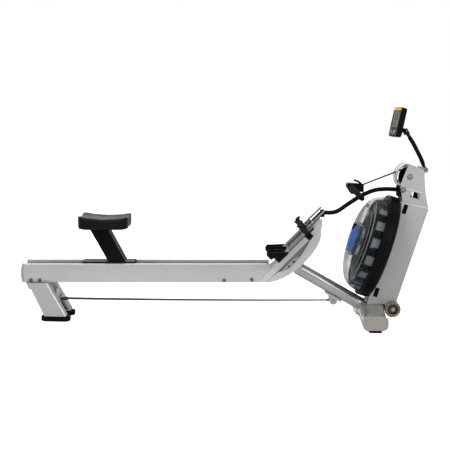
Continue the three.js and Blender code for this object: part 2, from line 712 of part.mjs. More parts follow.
function makeTowerPlates() {
  const baseRise = tower.depth * Math.tan(tower.lean);
  const { p: lugP, q: lugQ } = wheelAt;
  const edge = new THREE.Shape();
  edge.moveTo(0, 0);
  edge.lineTo(0, seamQ);
  edge.lineTo(0, seamQ + gap);
  edge.lineTo(tower.depth, seamQ + gap);
  edge.lineTo(tower.depth, tower.coverLow);
  edge.lineTo(lugP + wheelLug.radius, lugQ);
  edge.absarc(lugP, lugQ, wheelLug.radius, 0, -wheelLug.sweep, true);
  edge.lineTo(lugP - 2 * wheelLug.radius, (lugP - 2 * wheelLug.radius) * (baseRise / tower.depth));
  edge.closePath();
  const top = outline([
    [0, seamQ], [-head.noseBack, foldQ], [-head.noseBack + head.corner, topQ - head.corner],
    [-head.corner, topQ], [head.crest, topQ - head.corner], [tower.depth - head.cutBack, foldQ],
    [tower.depth, seamQ],
  ]);
  for (const [place, side] of sides) {
    const spread = (near, far) => [Math.min(side * near, side * far), Math.max(side * near, side * far)];
    const [y0, y1] = spread(tower.half - tower.plate, tower.half);
    const [h0, h1] = spread(tower.half - tower.plate, tower.half + tower.headLift);
    const lower = slab(edge, y0, y1, 8);
    const upper = slab(top, h0, h1);
    const slots = [seamQ - tower.slotDrop, tower.slotLow].map((q) => {
      const shape = outline([
        [tower.slotInset, q], [tower.slotInset + tower.slotWidth, q],
        [tower.slotInset + tower.slotWidth, q + tower.slotHeight], [tower.slotInset, q + tower.slotHeight],
      ]);
      return slab(shape, y0 - overrun, y1 + overrun);
    });
    const axleHole = acrossRod(ropePulley.axle + gap, h0 - overrun, h1 + overrun);
    axleHole.translate(pulleyAt.p, 0, pulleyAt.q);
    const wheelHole = acrossRod(wheelAxle.radius + gap, y0 - overrun, y1 + overrun).translate(lugP, 0, lugQ);
    const opening = slab(windowShape(), h0 - overrun, h1 + overrun);
    piece(`tower_plate_${place}`, cut(join(lower, upper), ...slots, axleHole, wheelHole, opening),
      finish.tower, 0, 0, 0, towerGroup);
  }
  const reach = tower.half - tower.plate - gap;
  const rear = tower.depth - tower.coverInset;
  piece("tower_rear_cover", block(rear - tower.plate, rear, -reach, reach, tower.coverLow, seamQ),
    finish.tower, 0, 0, 0, towerGroup);
  const panel = block(gap, tower.plate, -reach, reach, tower.panelLow, seamQ);
  const shaftHole = acrossBore(impeller.shaft + impeller.clearance, tower.depth, tankQ);
  piece("tower_front_panel", cut(panel, shaftHole), finish.tower, 0, 0, 0, towerGroup);
}

// A bore that runs along p through the middle of the tower.
function acrossBore(radius, length, q) {
  return rod(radius, length, 24).rotateY(Math.PI / 2).translate(0, 0, q);
}

// Head: the rope's pulley on its axle, behind a curved nose guard with a slot for the rope

function arcBand(inner, outer, from, to, halfWidth) {
  const shape = new THREE.Shape();
  shape.absarc(0, 0, outer, from, to, false);
  shape.absarc(0, 0, inner, to, from, true);
  shape.closePath();
  return slab(shape, -halfWidth, halfWidth, 8);
}

function makeHead() {
  const inner = guard.radius - guard.thickness;
  const reach = tower.half - tower.plate - gap;
  const strip = arcBand(inner, guard.radius, guard.from, guard.to, guard.half);
  const lowEnd = arcBand(inner, guard.radius, guard.to - guard.endSpan, guard.to, reach);
  const highEnd = arcBand(inner, guard.radius, guard.from, guard.from + guard.endSpan, reach);
  const slot = arcBand(inner - overrun, guard.radius + overrun, guard.slotFrom, guard.slotTo, guard.slotHalf);
  const [tabFrom, tabTo] = guard.tabSpan;
  const tab = block(-tabFrom, -tabTo, -reach, reach, -guard.tabDrop - guard.thickness, -guard.tabDrop);
  const bent = cut(join(strip, lowEnd, highEnd, tab), slot);
  piece("nose_guard", bent, finish.silver, pulleyAt.u, 0, pulleyAt.w);

  const half = ropePulley.width / 2;
  const axleHalf = tower.half + tower.headLift;
  const floor = ropePulley.radius - ropePulley.groove;
  const profile = [
    [0, -axleHalf], [ropePulley.axle, -axleHalf], [ropePulley.axle, -ropePulley.hubWidth / 2],
    [ropePulley.hub, -ropePulley.hubWidth / 2], [ropePulley.hub, -half / 2],
    [floor - ropePulley.groove, -half / 2], [floor, -half], [ropePulley.radius, -half],
    [floor, -rope.radius / 2], [floor, rope.radius / 2], [ropePulley.radius, half], [floor, half],
    [floor - ropePulley.groove, half / 2], [ropePulley.hub, half / 2],
    [ropePulley.hub, ropePulley.hubWidth / 2], [ropePulley.axle, ropePulley.hubWidth / 2],
    [ropePulley.axle, axleHalf], [0, axleHalf],
  ];
  piece("rope_pulley", turned(profile, 20).rotateX(Math.PI / 2), finish.black, pulleyAt.u, 0, pulleyAt.w);
}

// Drive rope: over the head pulley and down the tower to the drum, on both sides of it

function makeDriveRope() {
  const { turn: first, over } = ropeTangent();
  const route = [];
  for (let i = 0; i <= 5; i += 1) {
    const turn = first * (1 - i / 5);
    route.push(new THREE.Vector3(pulleyAt.u + over * Math.cos(turn), 0, pulleyAt.w + over * Math.sin(turn)));
  }
  const drumP = tower.plate + impeller.drumSetback + impeller.drumWidth / 2;
  const atDrum = (across, up) => {
    const { u, w } = fromTower(drumP, tankQ + up);
    return new THREE.Vector3(u, across, w);
  };
  const round = impeller.drum + rope.radius + 2 * gap;
  const lead = ([across, up]) => atDrum(round * across, impeller.drum * up);
  route.push(...rope.downShares.map(lead));
  for (let i = 0; i <= rope.wrapSteps; i += 1) {
    const turn = (-Math.PI * i) / rope.wrapSteps;
    route.push(atDrum(round * Math.cos(turn), round * Math.sin(turn)));
  }
  route.push(...rope.upShares.map(lead));
  piece("drive_rope", tube(new Route(route), circle(rope.radius, 6), 2 * (route.length - 1)), finish.black);
}

// Tank: a black back shell, a clamp ring and a clear bowl, with the baffle, the water, the
// impeller and the dial all turned about one axis that faces the rower

const tankGroup = new THREE.Group();
tankGroup.position.set(-gap, 0, tankQ);
tankGroup.rotation.y = -Math.PI / 2;
towerGroup.add(tankGroup);

const bowlFlange = tank.backDepth + gap;
const bowlRim = tank.radius - tank.wall - 2 * gap;

function bowlCurve(inset) {
  const [inward, back] = tank.insetShares;
  return tank.bowlShares.map(([r, z]) => [r * tank.radius - inset * inward, z * tank.bowlDepth - inset * back]);
}

function makeTank() {
  const shaftBore = impeller.shaft + gap;
  const r = tank.radius;
  const backProfile = [
    [shaftBore, 0], [r - 4 * tank.wall, 0], [r, 4 * tank.wall], [r, tank.backDepth],
    [r - tank.wall, tank.backDepth], [r - tank.wall, 5 * tank.wall], [r - 5 * tank.wall, tank.wall],
    [shaftBore, tank.wall],
  ];
  piece("tank_back", turned(close(backProfile), 32), finish.black, 0, 0, 0, tankGroup);

  const flangeTop = bowlFlange + tank.flange;
  const wallOuter = bowlCurve(0);
  const ringInner = wallOuter[0][0] + 2 * gap;
  const ringProfile = [
    [r - tank.wall + gap, bowlFlange], [r, bowlFlange], [r, flangeTop + tank.lip * tank.lipShare],
    [r - tank.lip, flangeTop + tank.lip * 2], [ringInner + gap, flangeTop + tank.lip * tank.lipShare],
    [ringInner + gap, flangeTop + gap], [r - tank.wall + gap, flangeTop + gap],
  ];
  piece("tank_ring", turned(close(ringProfile), 32), finish.black, 0, 0, 0, tankGroup);

  const face = tank.bowlDepth;
  const recessFloor = face - tank.recessDepth;
  const bore = dial.bossRadius / 2 + gap;
  const outer = [
    [bowlRim, bowlFlange], [bowlRim, flangeTop], [wallOuter[0][0], flangeTop], ...wallOuter,
    [tank.recess + tank.wall * 2, face], [tank.recess, face - tank.wall], [tank.recess, recessFloor],
    [bore, recessFloor],
  ];
  const inner = [
    [bore, recessFloor - tank.wall], [tank.recess + tank.wall, recessFloor - tank.wall],
    [tank.recess + tank.wall, face - 2 * tank.wall], ...bowlCurve(tank.wall).reverse(), [wallOuter[0][0] - tank.wall, bowlFlange],
  ];
  piece("tank_bowl", turned(close([...outer, ...inner]), 32), finish.clear, 0, 0, 0, tankGroup);

  const baffleEnd = face - tank.recessDepth - 2 * tank.wall;
  const core = turned(close([
    [baffle.inner, baffle.from], [baffle.outer, baffle.from], [baffle.outer, baffle.shoulder],
    [baffle.neck, baffleEnd], [baffle.neck - tank.wall, baffleEnd], [baffle.inner, baffle.shoulder],
  ]), 24);
  const ribs = [];
  for (let i = 0; i < baffle.ribs; i += 1) {
    const rib = block(baffle.inner + gap, baffle.ribOuter, -baffle.rib / 2, baffle.rib / 2, baffle.from,
      baffle.from + baffle.ribDepth);
    ribs.push(rib.rotateZ((2 * Math.PI * (i + 0.5)) / baffle.ribs));
  }
  piece("tank_baffle", join(core, ...ribs), finish.black, 0, 0, 0, tankGroup);

  const wet = r - tank.wall - 2 * gap;
  const throat = wallOuter[0][0] - tank.wall - 2 * gap;
  const body = turned(close([
    [water.inner, tank.wall * 2], [r - 6 * tank.wall, tank.wall * 2], [wet, tank.wall * 5 + gap],
    [wet, tank.backDepth - gap], [throat, tank.backDepth - gap], [throat, baffle.from - 2 * gap],
    [water.inner, baffle.from - 2 * gap],
  ]), 32);
  const dry = block(water.level, r + overrun, -r - overrun, r + overrun, -overrun, face);
  piece("water", cut(body, dry), finish.water, 0, 0, 0, tankGroup);
}

function close(profile) {
  return [...profile, profile[0]];
}

function makeImpeller() {
  const drumTop = -tower.plate - impeller.drumSetback;
  const drumLow = drumTop - impeller.drumWidth;
  const dishFloor = tank.wall + impeller.clearance;
  const drumSide = impeller.drum + rope.radius * 2;
  const shaftTop = dishFloor + impeller.bladeDepth + impeller.bladeInner;
  const shaft = turned([
    [0, drumLow], [drumSide, drumLow], [drumSide, drumLow + impeller.flange],
    [impeller.drum, drumLow + impeller.flange * 2], [impeller.drum, drumTop - impeller.flange * 2],
    [drumSide, drumTop - impeller.flange], [drumSide, drumTop], [impeller.shaft, drumTop],
    [impeller.shaft, dishFloor], [impeller.discRadius, dishFloor],
    [impeller.discRadius, dishFloor + tank.wall], [impeller.bladeInner, dishFloor + tank.wall],
    [impeller.bladeInner, shaftTop - impeller.bladeInner], [0, shaftTop],
  ], 24);
  const blades = [];
  for (let i = 0; i < impeller.blades; i += 1) {
    const blade = block(impeller.bladeInner - gap * 2, impeller.bladeOuter, -impeller.bladeThickness / 2,
      impeller.bladeThickness / 2, dishFloor, dishFloor + impeller.bladeDepth);
    blades.push(blade.rotateZ((2 * Math.PI * i) / impeller.blades));
  }
  piece("impeller", join(shaft, ...blades), finish.steel, 0, 0, 0, tankGroup);
}

function makeDial() {
  const seatZ = tank.bowlDepth - tank.recessDepth + gap;
  const stem = dial.bossRadius / 2;
  const body = turned([
    [0, seatZ - tank.wall - dial.bossHeight], [stem, seatZ - tank.wall - dial.bossHeight],
    [stem, seatZ], [dial.radius - dial.crown, seatZ], [dial.radius, seatZ + dial.crown],
    [dial.radius, seatZ + dial.thickness], [dial.radius - dial.crown, seatZ + dial.thickness + dial.crown / 2],
    [0, seatZ + dial.thickness + dial.crown],
  ], 32);
  const grips = [];
  for (let i = 0; i < dial.grips; i += 1) {
    const turn = (2 * Math.PI * (i + 0.5)) / dial.grips;
    const scoop = rod(dial.gripDepth * 2, dial.thickness * 4, 14);
    scoop.translate((dial.radius + dial.gripDepth) * Math.cos(turn),
      (dial.radius + dial.gripDepth) * Math.sin(turn), seatZ + dial.thickness);
    grips.push(scoop);
  }
  const half = dialKnob.size / 2;
  const pocketFloor = seatZ + dial.thickness / 2;
  const pocket = block(dialKnob.radius - half - gap, dial.radius + overrun, -half - gap, half + gap,
    pocketFloor, seatZ + dial.thickness * 2);
  piece("resistance_dial", cut(body, ...grips, pocket), finish.blue, 0, 0, 0, tankGroup);
  const knob = block(dialKnob.radius - half, dialKnob.radius + half - gap, -half, half,
    pocketFloor + gap, pocketFloor + gap + dialKnob.height);
  piece("dial_knob", knob, finish.black, 0, 0, 0, tankGroup);
}

// Handle rest: a bent black tube from the toe bracket to a bracket in the head

function makeRest() {
  const points = restPoints();
  const bent = tube(new Route(points), circle(rest.radius, 10), 2 * (points.length - 1));
  piece("handle_rest", bent, finish.black);

  const end = points[points.length - 1];
  const low = end.z - rest.bracketHeight * rest.bracketBelowShare;
  const high = end.z + rest.bracketHeight * rest.bracketAboveShare;
  const start = end.x + rest.seatGap;
  const middle = start + rest.bracketDepth;
  const reach = tower.half - tower.plate - gap;
  const boss = block(start, middle, -rest.bracketWidth / 2, rest.bracketWidth / 2, low, high);
  const cross = block(middle - overrun, middle + rest.radius, -reach, reach, low, high);
  piece("rest_bracket", join(boss, cross), finish.black);
}

// Handle: a bowed bar with foam grips and a moulded yoke that holds the pull rope

const handleGroup = new THREE.Group();
handleGroup.position.set(handleAt.u, 0, handleAt.w);
machine.add(handleGroup);

function handleCurve(from, to, count) {
  const points = [];
  for (let i = 0; i <= count; i += 1) {
    const y = from + ((to - from) * i) / count;
    const share = (Math.abs(y) / handle.half) ** handle.bendPower;
    points.push(new THREE.Vector3(handle.sweep * share, y, -handle.droop * share));
  }
  return new THREE.CatmullRomCurve3(points);
}

function makeHandle() {
  const end = handle.half;
  const barTube = tube(handleCurve(-end, end, 12), circle(handle.barRadius, 10), 18);
  const plan = outline([
    [-handle.gripRadius, -handle.yokeWidth / 2], [handle.gripRadius, -handle.yokeWidth / 2],
    [handle.yokeReach, -handle.yokeTip / 2], [handle.yokeReach, handle.yokeTip / 2],
    [handle.gripRadius, handle.yokeWidth / 2], [-handle.gripRadius, handle.yokeWidth / 2],
  ]);
  const tall = handle.yokeDrop + handle.gripRadius;
  const planBlock = new THREE.ExtrudeGeometry(plan, { depth: 2 * tall, bevelEnabled: false });
  planBlock.translate(0, 0, -tall);
  const side = outline([
    ...yokeUnderside, [handle.yokeReach, handle.barRadius],
    [handle.barRadius, handle.gripRadius], [-handle.barRadius, handle.gripRadius],
    [-handle.gripRadius, handle.barRadius],
  ]);
  const sideBlock = slab(side, -handle.yokeWidth, handle.yokeWidth);
  const bend = handle.fingerShares.map(([run, rise]) => new THREE.Vector3(run * handle.yokeReach, 0,
    rise * handle.yokeReach));
  const finger = tube(new Route(bend), circle(handle.fingerRadius, 8), 2 * bend.length);
  piece("handle_bar", join(barTube, common(planBlock, sideBlock), finger), finish.black, 0, 0, 0, handleGroup);

  for (const [place, sign] of sides) {
    const from = sign * (handle.yokeWidth / 2 + handle.barRadius);
    const to = sign * (end + gap);
    const sleeve = tube(handleCurve(from, to, 8), circle(handle.gripRadius, 12), 8);
    const bore = tube(handleCurve(0, sign * (end + overrun), 12), circle(handle.barRadius + 4 * gap, 10), 9);
    piece(`handle_grip_${place}`, cut(sleeve, bore), finish.black, 0, 0, 0, handleGroup);
  }
}

// The straight stretch of rope from the handle's yoke to where it meets the pulley

function ropeTangent() {
  const start = new THREE.Vector3(handle.yokeReach, 0, handle.ropeRise);
  handleGroup.updateMatrix();
  start.applyMatrix4(handleGroup.matrix);
  const over = ropePulley.radius - ropePulley.groove + rope.radius + 2 * gap;
  const du = start.x - pulleyAt.u;
  const dw = start.z - pulleyAt.w;
  const turn = Math.atan2(dw, du) + 2 * Math.PI - Math.acos(over / Math.hypot(du, dw));
  return { start, turn, over };
}

function makePullRope() {
  const { start, turn, over } = ropeTangent();
  const end = new THREE.Vector3(
    pulleyAt.u + over * Math.cos(turn), 0, pulleyAt.w + over * Math.sin(turn),
  );
  const direction = end.clone().sub(start).normalize();
  const from = start.clone().addScaledVector(direction, rope.radius);
  from.y = 0;
  const to = end.clone().addScaledVector(direction, -4 * gap);
  const line = new THREE.LineCurve3(from, to);
  piece("pull_rope", tube(line, circle(rope.radius, 8), 4), finish.black);
}

// Seat: a carriage on two roller axles between the rails, a slanted post and a dished cushion

function makeSeat() {
  const axleW = rail.channelFloor + roller.radius + gap;
  const low = axleW - carriage.skirt / 4;
  const outer = block(carriage.rear, carriage.front, -carriage.half, carriage.half, low, carriage.top);
  const inner = block(carriage.rear - overrun, carriage.front + overrun, -carriage.half + carriage.wall,
    carriage.half - carriage.wall, low - overrun, carriage.top - carriage.thickness);
  const axles = [carriage.rear + roller.inset, carriage.front - roller.inset];
  const holes = axles.map((u) => {
    const hole = acrossRod(roller.axle + gap, -carriage.half - overrun, carriage.half + overrun);
    return hole.translate(u, 0, axleW);
  });
  piece("seat_carriage", cut(outer, inner, ...holes), finish.black);

  const wheelFrom = rail.halfGap + roller.spigot;
  const wheelTo = wheelFrom + roller.width;
  const tyreEdge = roller.radius - roller.crown;
  const profile = [
    [0, -wheelTo], [tyreEdge, -wheelTo], [roller.radius, -wheelTo + roller.crown],
    [roller.radius, -wheelFrom - roller.crown], [tyreEdge, -wheelFrom], [roller.axle, -wheelFrom],
    [roller.axle, wheelFrom], [tyreEdge, wheelFrom], [roller.radius, wheelFrom + roller.crown],
    [roller.radius, wheelTo - roller.crown], [tyreEdge, wheelTo], [0, wheelTo],
  ];
  ["rear", "front"].forEach((place, i) => {
    const pair = turned(profile, 18).rotateX(Math.PI / 2);
    piece(`seat_rollers_${place}`, pair, finish.rubber, axles[i], 0, axleW);
  });

  const foot0 = carriage.top + gap;
  const half = post.width / 2;
  const body = slab(outline([
    [post.topRear, post.top], [post.topFront, post.top], [post.bottomFront, foot0], [post.bottomRear, foot0],
  ]), -half, half);
  const front = post.wall * post.frontShare;
  const hollow = slab(outline([
    [post.topRear - half, post.top - post.flange], [post.topFront - front, post.top - post.flange],
    [post.bottomFront - front, foot0 + post.flange], [post.topRear - half, foot0 + post.flange],
  ]), -half + post.wall, half - post.wall);
  const topPlate = block(post.topRear - post.topFlange, post.topFront + post.topFlange, -half, half,
    post.top - gap, post.top + post.flange);
  piece("seat_post", join(cut(body, hollow), topPlate), finish.black);

  const middle = (seat.rear + seat.front) / 2;
  piece("seat_cushion", cushion(), finish.black, middle, 0, post.top + post.flange + gap);
}

// A rounded block with a flat base, drawn-in sides and a saddle-shaped top.
function cushion() {
  const length = seat.front - seat.rear;
  const made = new THREE.SphereGeometry(1, 36, 18);
  made.rotateX(Math.PI / 2);
  const swell = (value, power) => Math.sign(value) * Math.abs(value) ** power;
  const spots = made.attributes.position;
  for (let i = 0; i < spots.count; i += 1) {
    const x = spots.getX(i);
    const y = spots.getY(i);
    const z = spots.getZ(i);
    const flat = Math.hypot(x, y);
    const reach = flat > 0 ? swell(flat, seat.wallShare) / flat : 0;
    const corner = flat > 0 ? 1 / Math.hypot(x / flat, y / flat, 0) : 0;
    const square = flat > 0
      ? corner / (Math.abs(x / flat) ** seat.squareness + Math.abs(y / flat) ** seat.squareness)
        ** (1 / seat.squareness)
      : 0;
    const px = x * reach * square;
    const py = y * reach * square;
    const up = swell(z, seat.faceShare);
    const saddle = seat.dish * (px * px - seat.middleShare) + seat.crown * (1 - py * py) - seat.lean * px;
    const above = seat.thickness * seat.topShare + saddle;
    const below = seat.thickness * (1 - seat.topShare);
    const lift = up > 0 ? up * above : up * below;
    const draw = 1 - seat.drawShare * (up < 0 ? -up : 0);
    spots.setXYZ(i, (px * draw * length) / 2, (py * draw * seat.width) / 2, lift + below);
  }
  return toGeometry(toSolid(made));
}

// Footrests: on the ramp, each a board with a heel cup that slides up and down through the toe
// bracket on a perforated tongue, below a strap. Axes: s up the ramp, n away from it.

const rampGroup = new THREE.Group();
rampGroup.position.set(rampFoot, 0, 0);
rampGroup.rotation.y = -ramp.slope;
machine.add(rampGroup);

function makeToeBracket() {
  const top = toe.lift + toe.thickness;
  const reach = shoe.centre + strap.outer + strap.thickness;
  const from = toe.along;
  const to = toe.along + toe.width;
  const plate = block(from, to, -reach, reach, toe.lift, top);
  const cheeks = sides.map(([, side]) => {
    const a = side * (outerFace + gap);
    const b = side * (outerFace + gap + toe.thickness);
    return block(from, from + toe.width / 2, Math.min(a, b), Math.max(a, b), -ramp.thickness, top);
  });
  const spine = block(to - overrun, toe.armEnd, -rest.radius, rest.radius, toe.lift,
    toe.lift + 2 * rest.radius);
  const stem = rod(adjusterKnob.stem, adjusterKnob.rise, 12).translate(from + toe.width / 3, 0,
    top + adjusterKnob.rise / 2 - gap);
  const knobTop = rod(adjusterKnob.radius, adjusterKnob.height, 20).translate(from + toe.width / 3, 0,
    top + adjusterKnob.rise);
  const made = join(plate, ...cheeks, spine, stem, knobTop);
  rampGroup.updateMatrix();
  const cheek = toe.socketShare * rest.radius;
  const socket = block(restStart.u - 2 * rest.radius, restStart.u - gap, -cheek, cheek,
    restStart.w - 2 * rest.radius, restStart.w + cheek);
  piece("toe_bracket", join(made.applyMatrix4(rampGroup.matrix), socket), finish.black);
}

function makeFootrests() {
  const boardLow = toe.lift + toe.thickness + gap;
  const boardTop = boardLow + shoe.thickness;
  for (const [place, side] of sides) {
    const y = side * shoe.centre;
    const half = shoe.width / 2;
    const board = block(shoe.start, shoe.end, -half, half, boardLow, boardTop);
    const toeLip = slab(outline([
      [shoe.end - overrun, boardTop - gap], [shoe.end, boardTop - gap],
      [shoe.end + shoe.thickness * 2, boardTop + shoe.lift], [shoe.end + shoe.thickness, boardTop + shoe.lift],
    ]), -half, half);
    const tongueLow = boardTop + shoe.thickness;
    const tongue = block(shoe.end - tonguePlate.lap, tonguePlate.end, -tonguePlate.half, tonguePlate.half,
      tongueLow, tongueLow + shoe.thickness);
    const riser = block(shoe.end - tonguePlate.lap, shoe.end - tonguePlate.lap / 2, -tonguePlate.half,
      tonguePlate.half, boardTop - gap, tongueLow + gap);
    const holes = [];
    for (let i = 0; i < tonguePlate.holes; i += 1) {
      const s = tonguePlate.end - tonguePlate.pitch * (i + tonguePlate.firstShare);
      holes.push(rod(tonguePlate.hole, 4 * shoe.thickness, 12).translate(s, 0, tongueLow));
    }
    const whole = cut(join(board, toeLip, tongue, riser), ...holes);
    piece(`foot_board_${place}`, whole, finish.boards, 0, y, 0, rampGroup);

    const wide = heel.width / 2;
    const cupLow = boardLow - heel.wall - gap;
    const profile = slab(outline([
      [heel.rear, heel.notchTop], [heel.rear + heel.step, heel.notchTop - heel.wall],
      [heel.rear + heel.step, cupLow], [heel.front, cupLow], [heel.front, boardTop],
      [heel.rear + heel.lean, heel.top], [heel.rear, heel.top - heel.wall],
    ]), -wide, wide);
    const inside = block(heel.rear + 2 * heel.wall, heel.front + overrun, -wide + heel.wall, wide - heel.wall,
      boardTop + gap, 2 * heel.top);
    const slot = block(shoe.start - gap, heel.front + overrun, -half - gap, half + gap, boardLow - gap,
      boardTop + 2 * gap);
    piece(`heel_cup_${place}`, cut(profile, inside, slot), finish.black, 0, y, 0, rampGroup);

    const band = new THREE.Shape();
    const legTop = strap.shoulder;
    const low = toe.lift + toe.thickness + gap;
    band.moveTo(strap.outer, low);
    band.lineTo(strap.outer, legTop);
    band.absellipse(0, legTop, strap.outer, strap.rise, 0, Math.PI, false);
    band.lineTo(-strap.outer, low);
    band.lineTo(-strap.outer + strap.thickness, low);
    band.lineTo(-strap.outer + strap.thickness, legTop);
    band.absellipse(0, legTop, strap.outer - strap.thickness, strap.rise - strap.thickness, Math.PI, 0, true);
    band.lineTo(strap.outer - strap.thickness, low);
    band.closePath();
    piece(`foot_strap_${place}`, bar(band, strap.along, strap.along + strap.width, 16), finish.black,
      0, y, 0, rampGroup);
  }
}

// Transport wheels: urethane tyres on ribbed cores, on one axle through the tower plates

function makeWheels() {
  const halfWidth = wheel.width / 2;
  const start = tower.half + wheel.clearance;
  const web = halfWidth - wheel.recess;
  for (const [place, side] of sides) {
    const profile = [
      [wheel.bore, -halfWidth], [wheel.hub, -halfWidth], [wheel.hub, -web], [wheel.coreRadius, -web],
      [wheel.coreRadius + wheel.recess, -halfWidth], [wheel.radius - wheel.recess, -halfWidth],
      [wheel.radius, -halfWidth / 2], [wheel.radius, halfWidth / 2], [wheel.radius - wheel.recess, halfWidth],
      [wheel.coreRadius + wheel.recess, halfWidth], [wheel.coreRadius, web], [wheel.hub, web],
      [wheel.hub, halfWidth], [wheel.bore, halfWidth],
    ];
    const disc = turned(close(profile), 20);
    const ribs = [];
    for (let i = 0; i < wheel.spokes; i += 1) {
      const rib = block(wheel.hub - wheel.recess, wheel.coreRadius + wheel.recess, -wheel.recess / 2,
        wheel.recess / 2, -halfWidth + gap, halfWidth - gap);
      ribs.push(rib.rotateZ((2 * Math.PI * i) / wheel.spokes));
    }
    const made = join(disc, ...ribs).rotateX(Math.PI / 2);
    piece(`transport_wheel_${place}`, made, finish.urethane, wheelAt.u, side * (start + halfWidth), wheelAt.w);
  }
  const end = start + wheel.width + gap;
  const shaft = acrossRod(wheelAxle.radius, -end, end);
  const heads = sides.map(([, side]) => {
    const a = side * end;
    const b = side * (end + wheelAxle.headHeight);
    return acrossRod(wheelAxle.headRadius, Math.min(a, b), Math.max(a, b), 6);
  });
  piece("transport_axle", join(shaft, ...heads), finish.steel, wheelAt.u, 0, wheelAt.w);
}

// Console: a case with a screen and two buttons, on a bent arm clamped to the head

function makeArm() {
  const { p, q } = armAt;
  const reach = tower.half - tower.plate - gap;
  const earIn = arm.clampWidth / 2 + gap;
  const ears = sides.map(([, side]) => {
    const a = side * earIn;
    const b = side * (earIn + tower.plate);
    return block(p - arm.bracketDepth, p + arm.clampRadius * arm.earShare, Math.min(a, b), Math.max(a, b),
      q - arm.clampRadius, q + arm.clampRadius * arm.earShare);
  });
  const cross = block(p - arm.bracketDepth - tower.plate, p - arm.bracketDepth + gap, -reach, reach,
    q - 2 * arm.clampRadius, q + arm.clampRadius * arm.earShare);
  const pinEnd = earIn + tower.plate * arm.pinShare;
  const pin = acrossRod(arm.pinRadius, -pinEnd, pinEnd).translate(p, 0, q);
  piece("arm_bracket", join(...ears, cross, pin), finish.steel, 0, 0, 0, towerGroup);

  const barrel = acrossRod(arm.clampRadius, -arm.clampWidth / 2, arm.clampWidth / 2, 20);
  const bore = acrossRod(arm.pinRadius + gap, -arm.clampWidth, arm.clampWidth, 16);
  const fall = Math.atan2(arm.neckDrop, arm.neckRun);
  const tip = consoleCase.lugRadius + arm.forkThickness;
  const neckAt = new THREE.Vector3(arm.pivotRun + arm.neckRun, 0, arm.pivotRise - arm.neckDrop);
  const route = arm.routeShares.map(([run, rise]) => new THREE.Vector3(run * neckAt.x, 0, rise * neckAt.z));
  route.push(new THREE.Vector3(arm.pivotRun + tip * Math.cos(fall), 0, arm.pivotRise - tip * Math.sin(fall)));
  const bent = tube(new Route(route), circle(arm.radius, 12), 2 * (route.length - 1));

  const forkHalf = consoleCase.lugWidth / 2 + gap;
  const cheek = forkHalf + arm.forkThickness;
  const back = consoleCase.lugRadius + 2 * gap;
  const forkEars = sides.map(([, side]) => {
    const a = side * forkHalf;
    const b = side * cheek;
    return block(-consoleCase.lugRadius, back + arm.forkThickness, Math.min(a, b), Math.max(a, b), -arm.radius,
      arm.radius);
  });
  const bridgeEnd = back + arm.forkThickness * arm.bridgeShare;
  const bridge = block(back, bridgeEnd, -cheek, cheek, -arm.radius, arm.radius);
  const forkPin = acrossRod(arm.pinRadius, -cheek - gap, cheek + gap);
  const fork = join(...forkEars, bridge, forkPin);
  fork.rotateY(fall).rotateZ(consoleCase.yaw);
  fork.translate(arm.pivotRun, 0, arm.pivotRise);
  piece("console_arm", join(cut(join(barrel, bent), bore), fork), finish.black, armAt.u, 0, armAt.w);
}

const consoleGroup = new THREE.Group();
consoleGroup.position.set(pivotAt.u, 0, pivotAt.w);
consoleGroup.rotation.set(0, consoleCase.lean, consoleCase.yaw, "ZYX");
machine.add(consoleGroup);

function makeConsole() {
  const c = consoleCase;
  const face = -c.reach - c.depth;
  const low = -c.pivotHeight;
  const middle = low + c.height / 2;
  const shell = new THREE.ExtrudeGeometry(roundedRectangle(c.width, c.height, c.corner), {
    depth: c.depth - c.corner / 2, bevelEnabled: true, bevelThickness: c.corner / 4, bevelSize: c.corner / 4,
    bevelOffset: -c.corner / 4, bevelSegments: 1, curveSegments: 4,
  });
  shell.applyMatrix4(alongRail).translate(face + c.corner / 4, 0, middle);
  const lug = acrossRod(c.lugRadius, -c.lugWidth / 2, c.lugWidth / 2, 20);
  const neckHalf = c.lugRadius * c.neckShare;
  const neck = block(-c.reach - gap, -c.lugRadius / 2, -c.lugWidth / 2, c.lugWidth / 2, -neckHalf, neckHalf);
  const bore = acrossRod(arm.pinRadius + gap, -c.lugWidth, c.lugWidth);
  const glass = {
    half: c.width / 2 - screen.inset,
    low: low + c.height * screen.sillShare,
    high: low + c.height * (1 - screen.headShare),
  };
  const pocket = block(face - overrun, face + screen.thickness + gap, -glass.half - gap, glass.half + gap,
    glass.low - gap, glass.high + gap);
  const wells = [-1, 1].map((side) => {
    const well = rod(button.radius + gap, 2 * (button.height + button.travel), 20).rotateY(Math.PI / 2);
    return well.translate(face, (side * button.spacing) / 2, low + button.row);
  });
  const whole = cut(join(shell, lug, neck), bore, pocket, ...wells);
  piece("console_case", whole, finish.black, 0, 0, 0, consoleGroup);
  const pane = block(face + gap, face + screen.thickness, -glass.half, glass.half, glass.low, glass.high);
  piece("console_screen", pane, finish.glass, 0, 0, 0, consoleGroup);
  ["left", "right"].forEach((place, i) => {
    const made = rod(button.radius, button.height, 20).rotateY(Math.PI / 2);
    piece(`console_button_${place}`, made, finish.amber, face + button.height / 2 - button.proud,
      (i - 0.5) * button.spacing, low + button.row, consoleGroup);
  });
}

makeRails();
makeRearLegs();
makeHookPlate();
makeRamp();
makeBows();
makeStrut();
makeBungee();
makeFrontFoot();
makeTowerPlates();
makeHead();
makeDriveRope();
makeTank();
makeImpeller();
makeDial();
makeRest();
makeHandle();
makePullRope();
makeSeat();
makeToeBracket();
makeFootrests();
makeWheels();
makeArm();
makeConsole();

// The machine stands on the floor, with its origin below the middle of its length.
machine.rotation.y = -rake;
machine.position.z = railLift;
const stand = new THREE.Group();
stand.add(machine);
stand.updateMatrixWorld(true);
const extent = new THREE.Box3().setFromObject(stand, true);
machine.position.x = -(extent.min.x + extent.max.x) / 2;

export default stand;
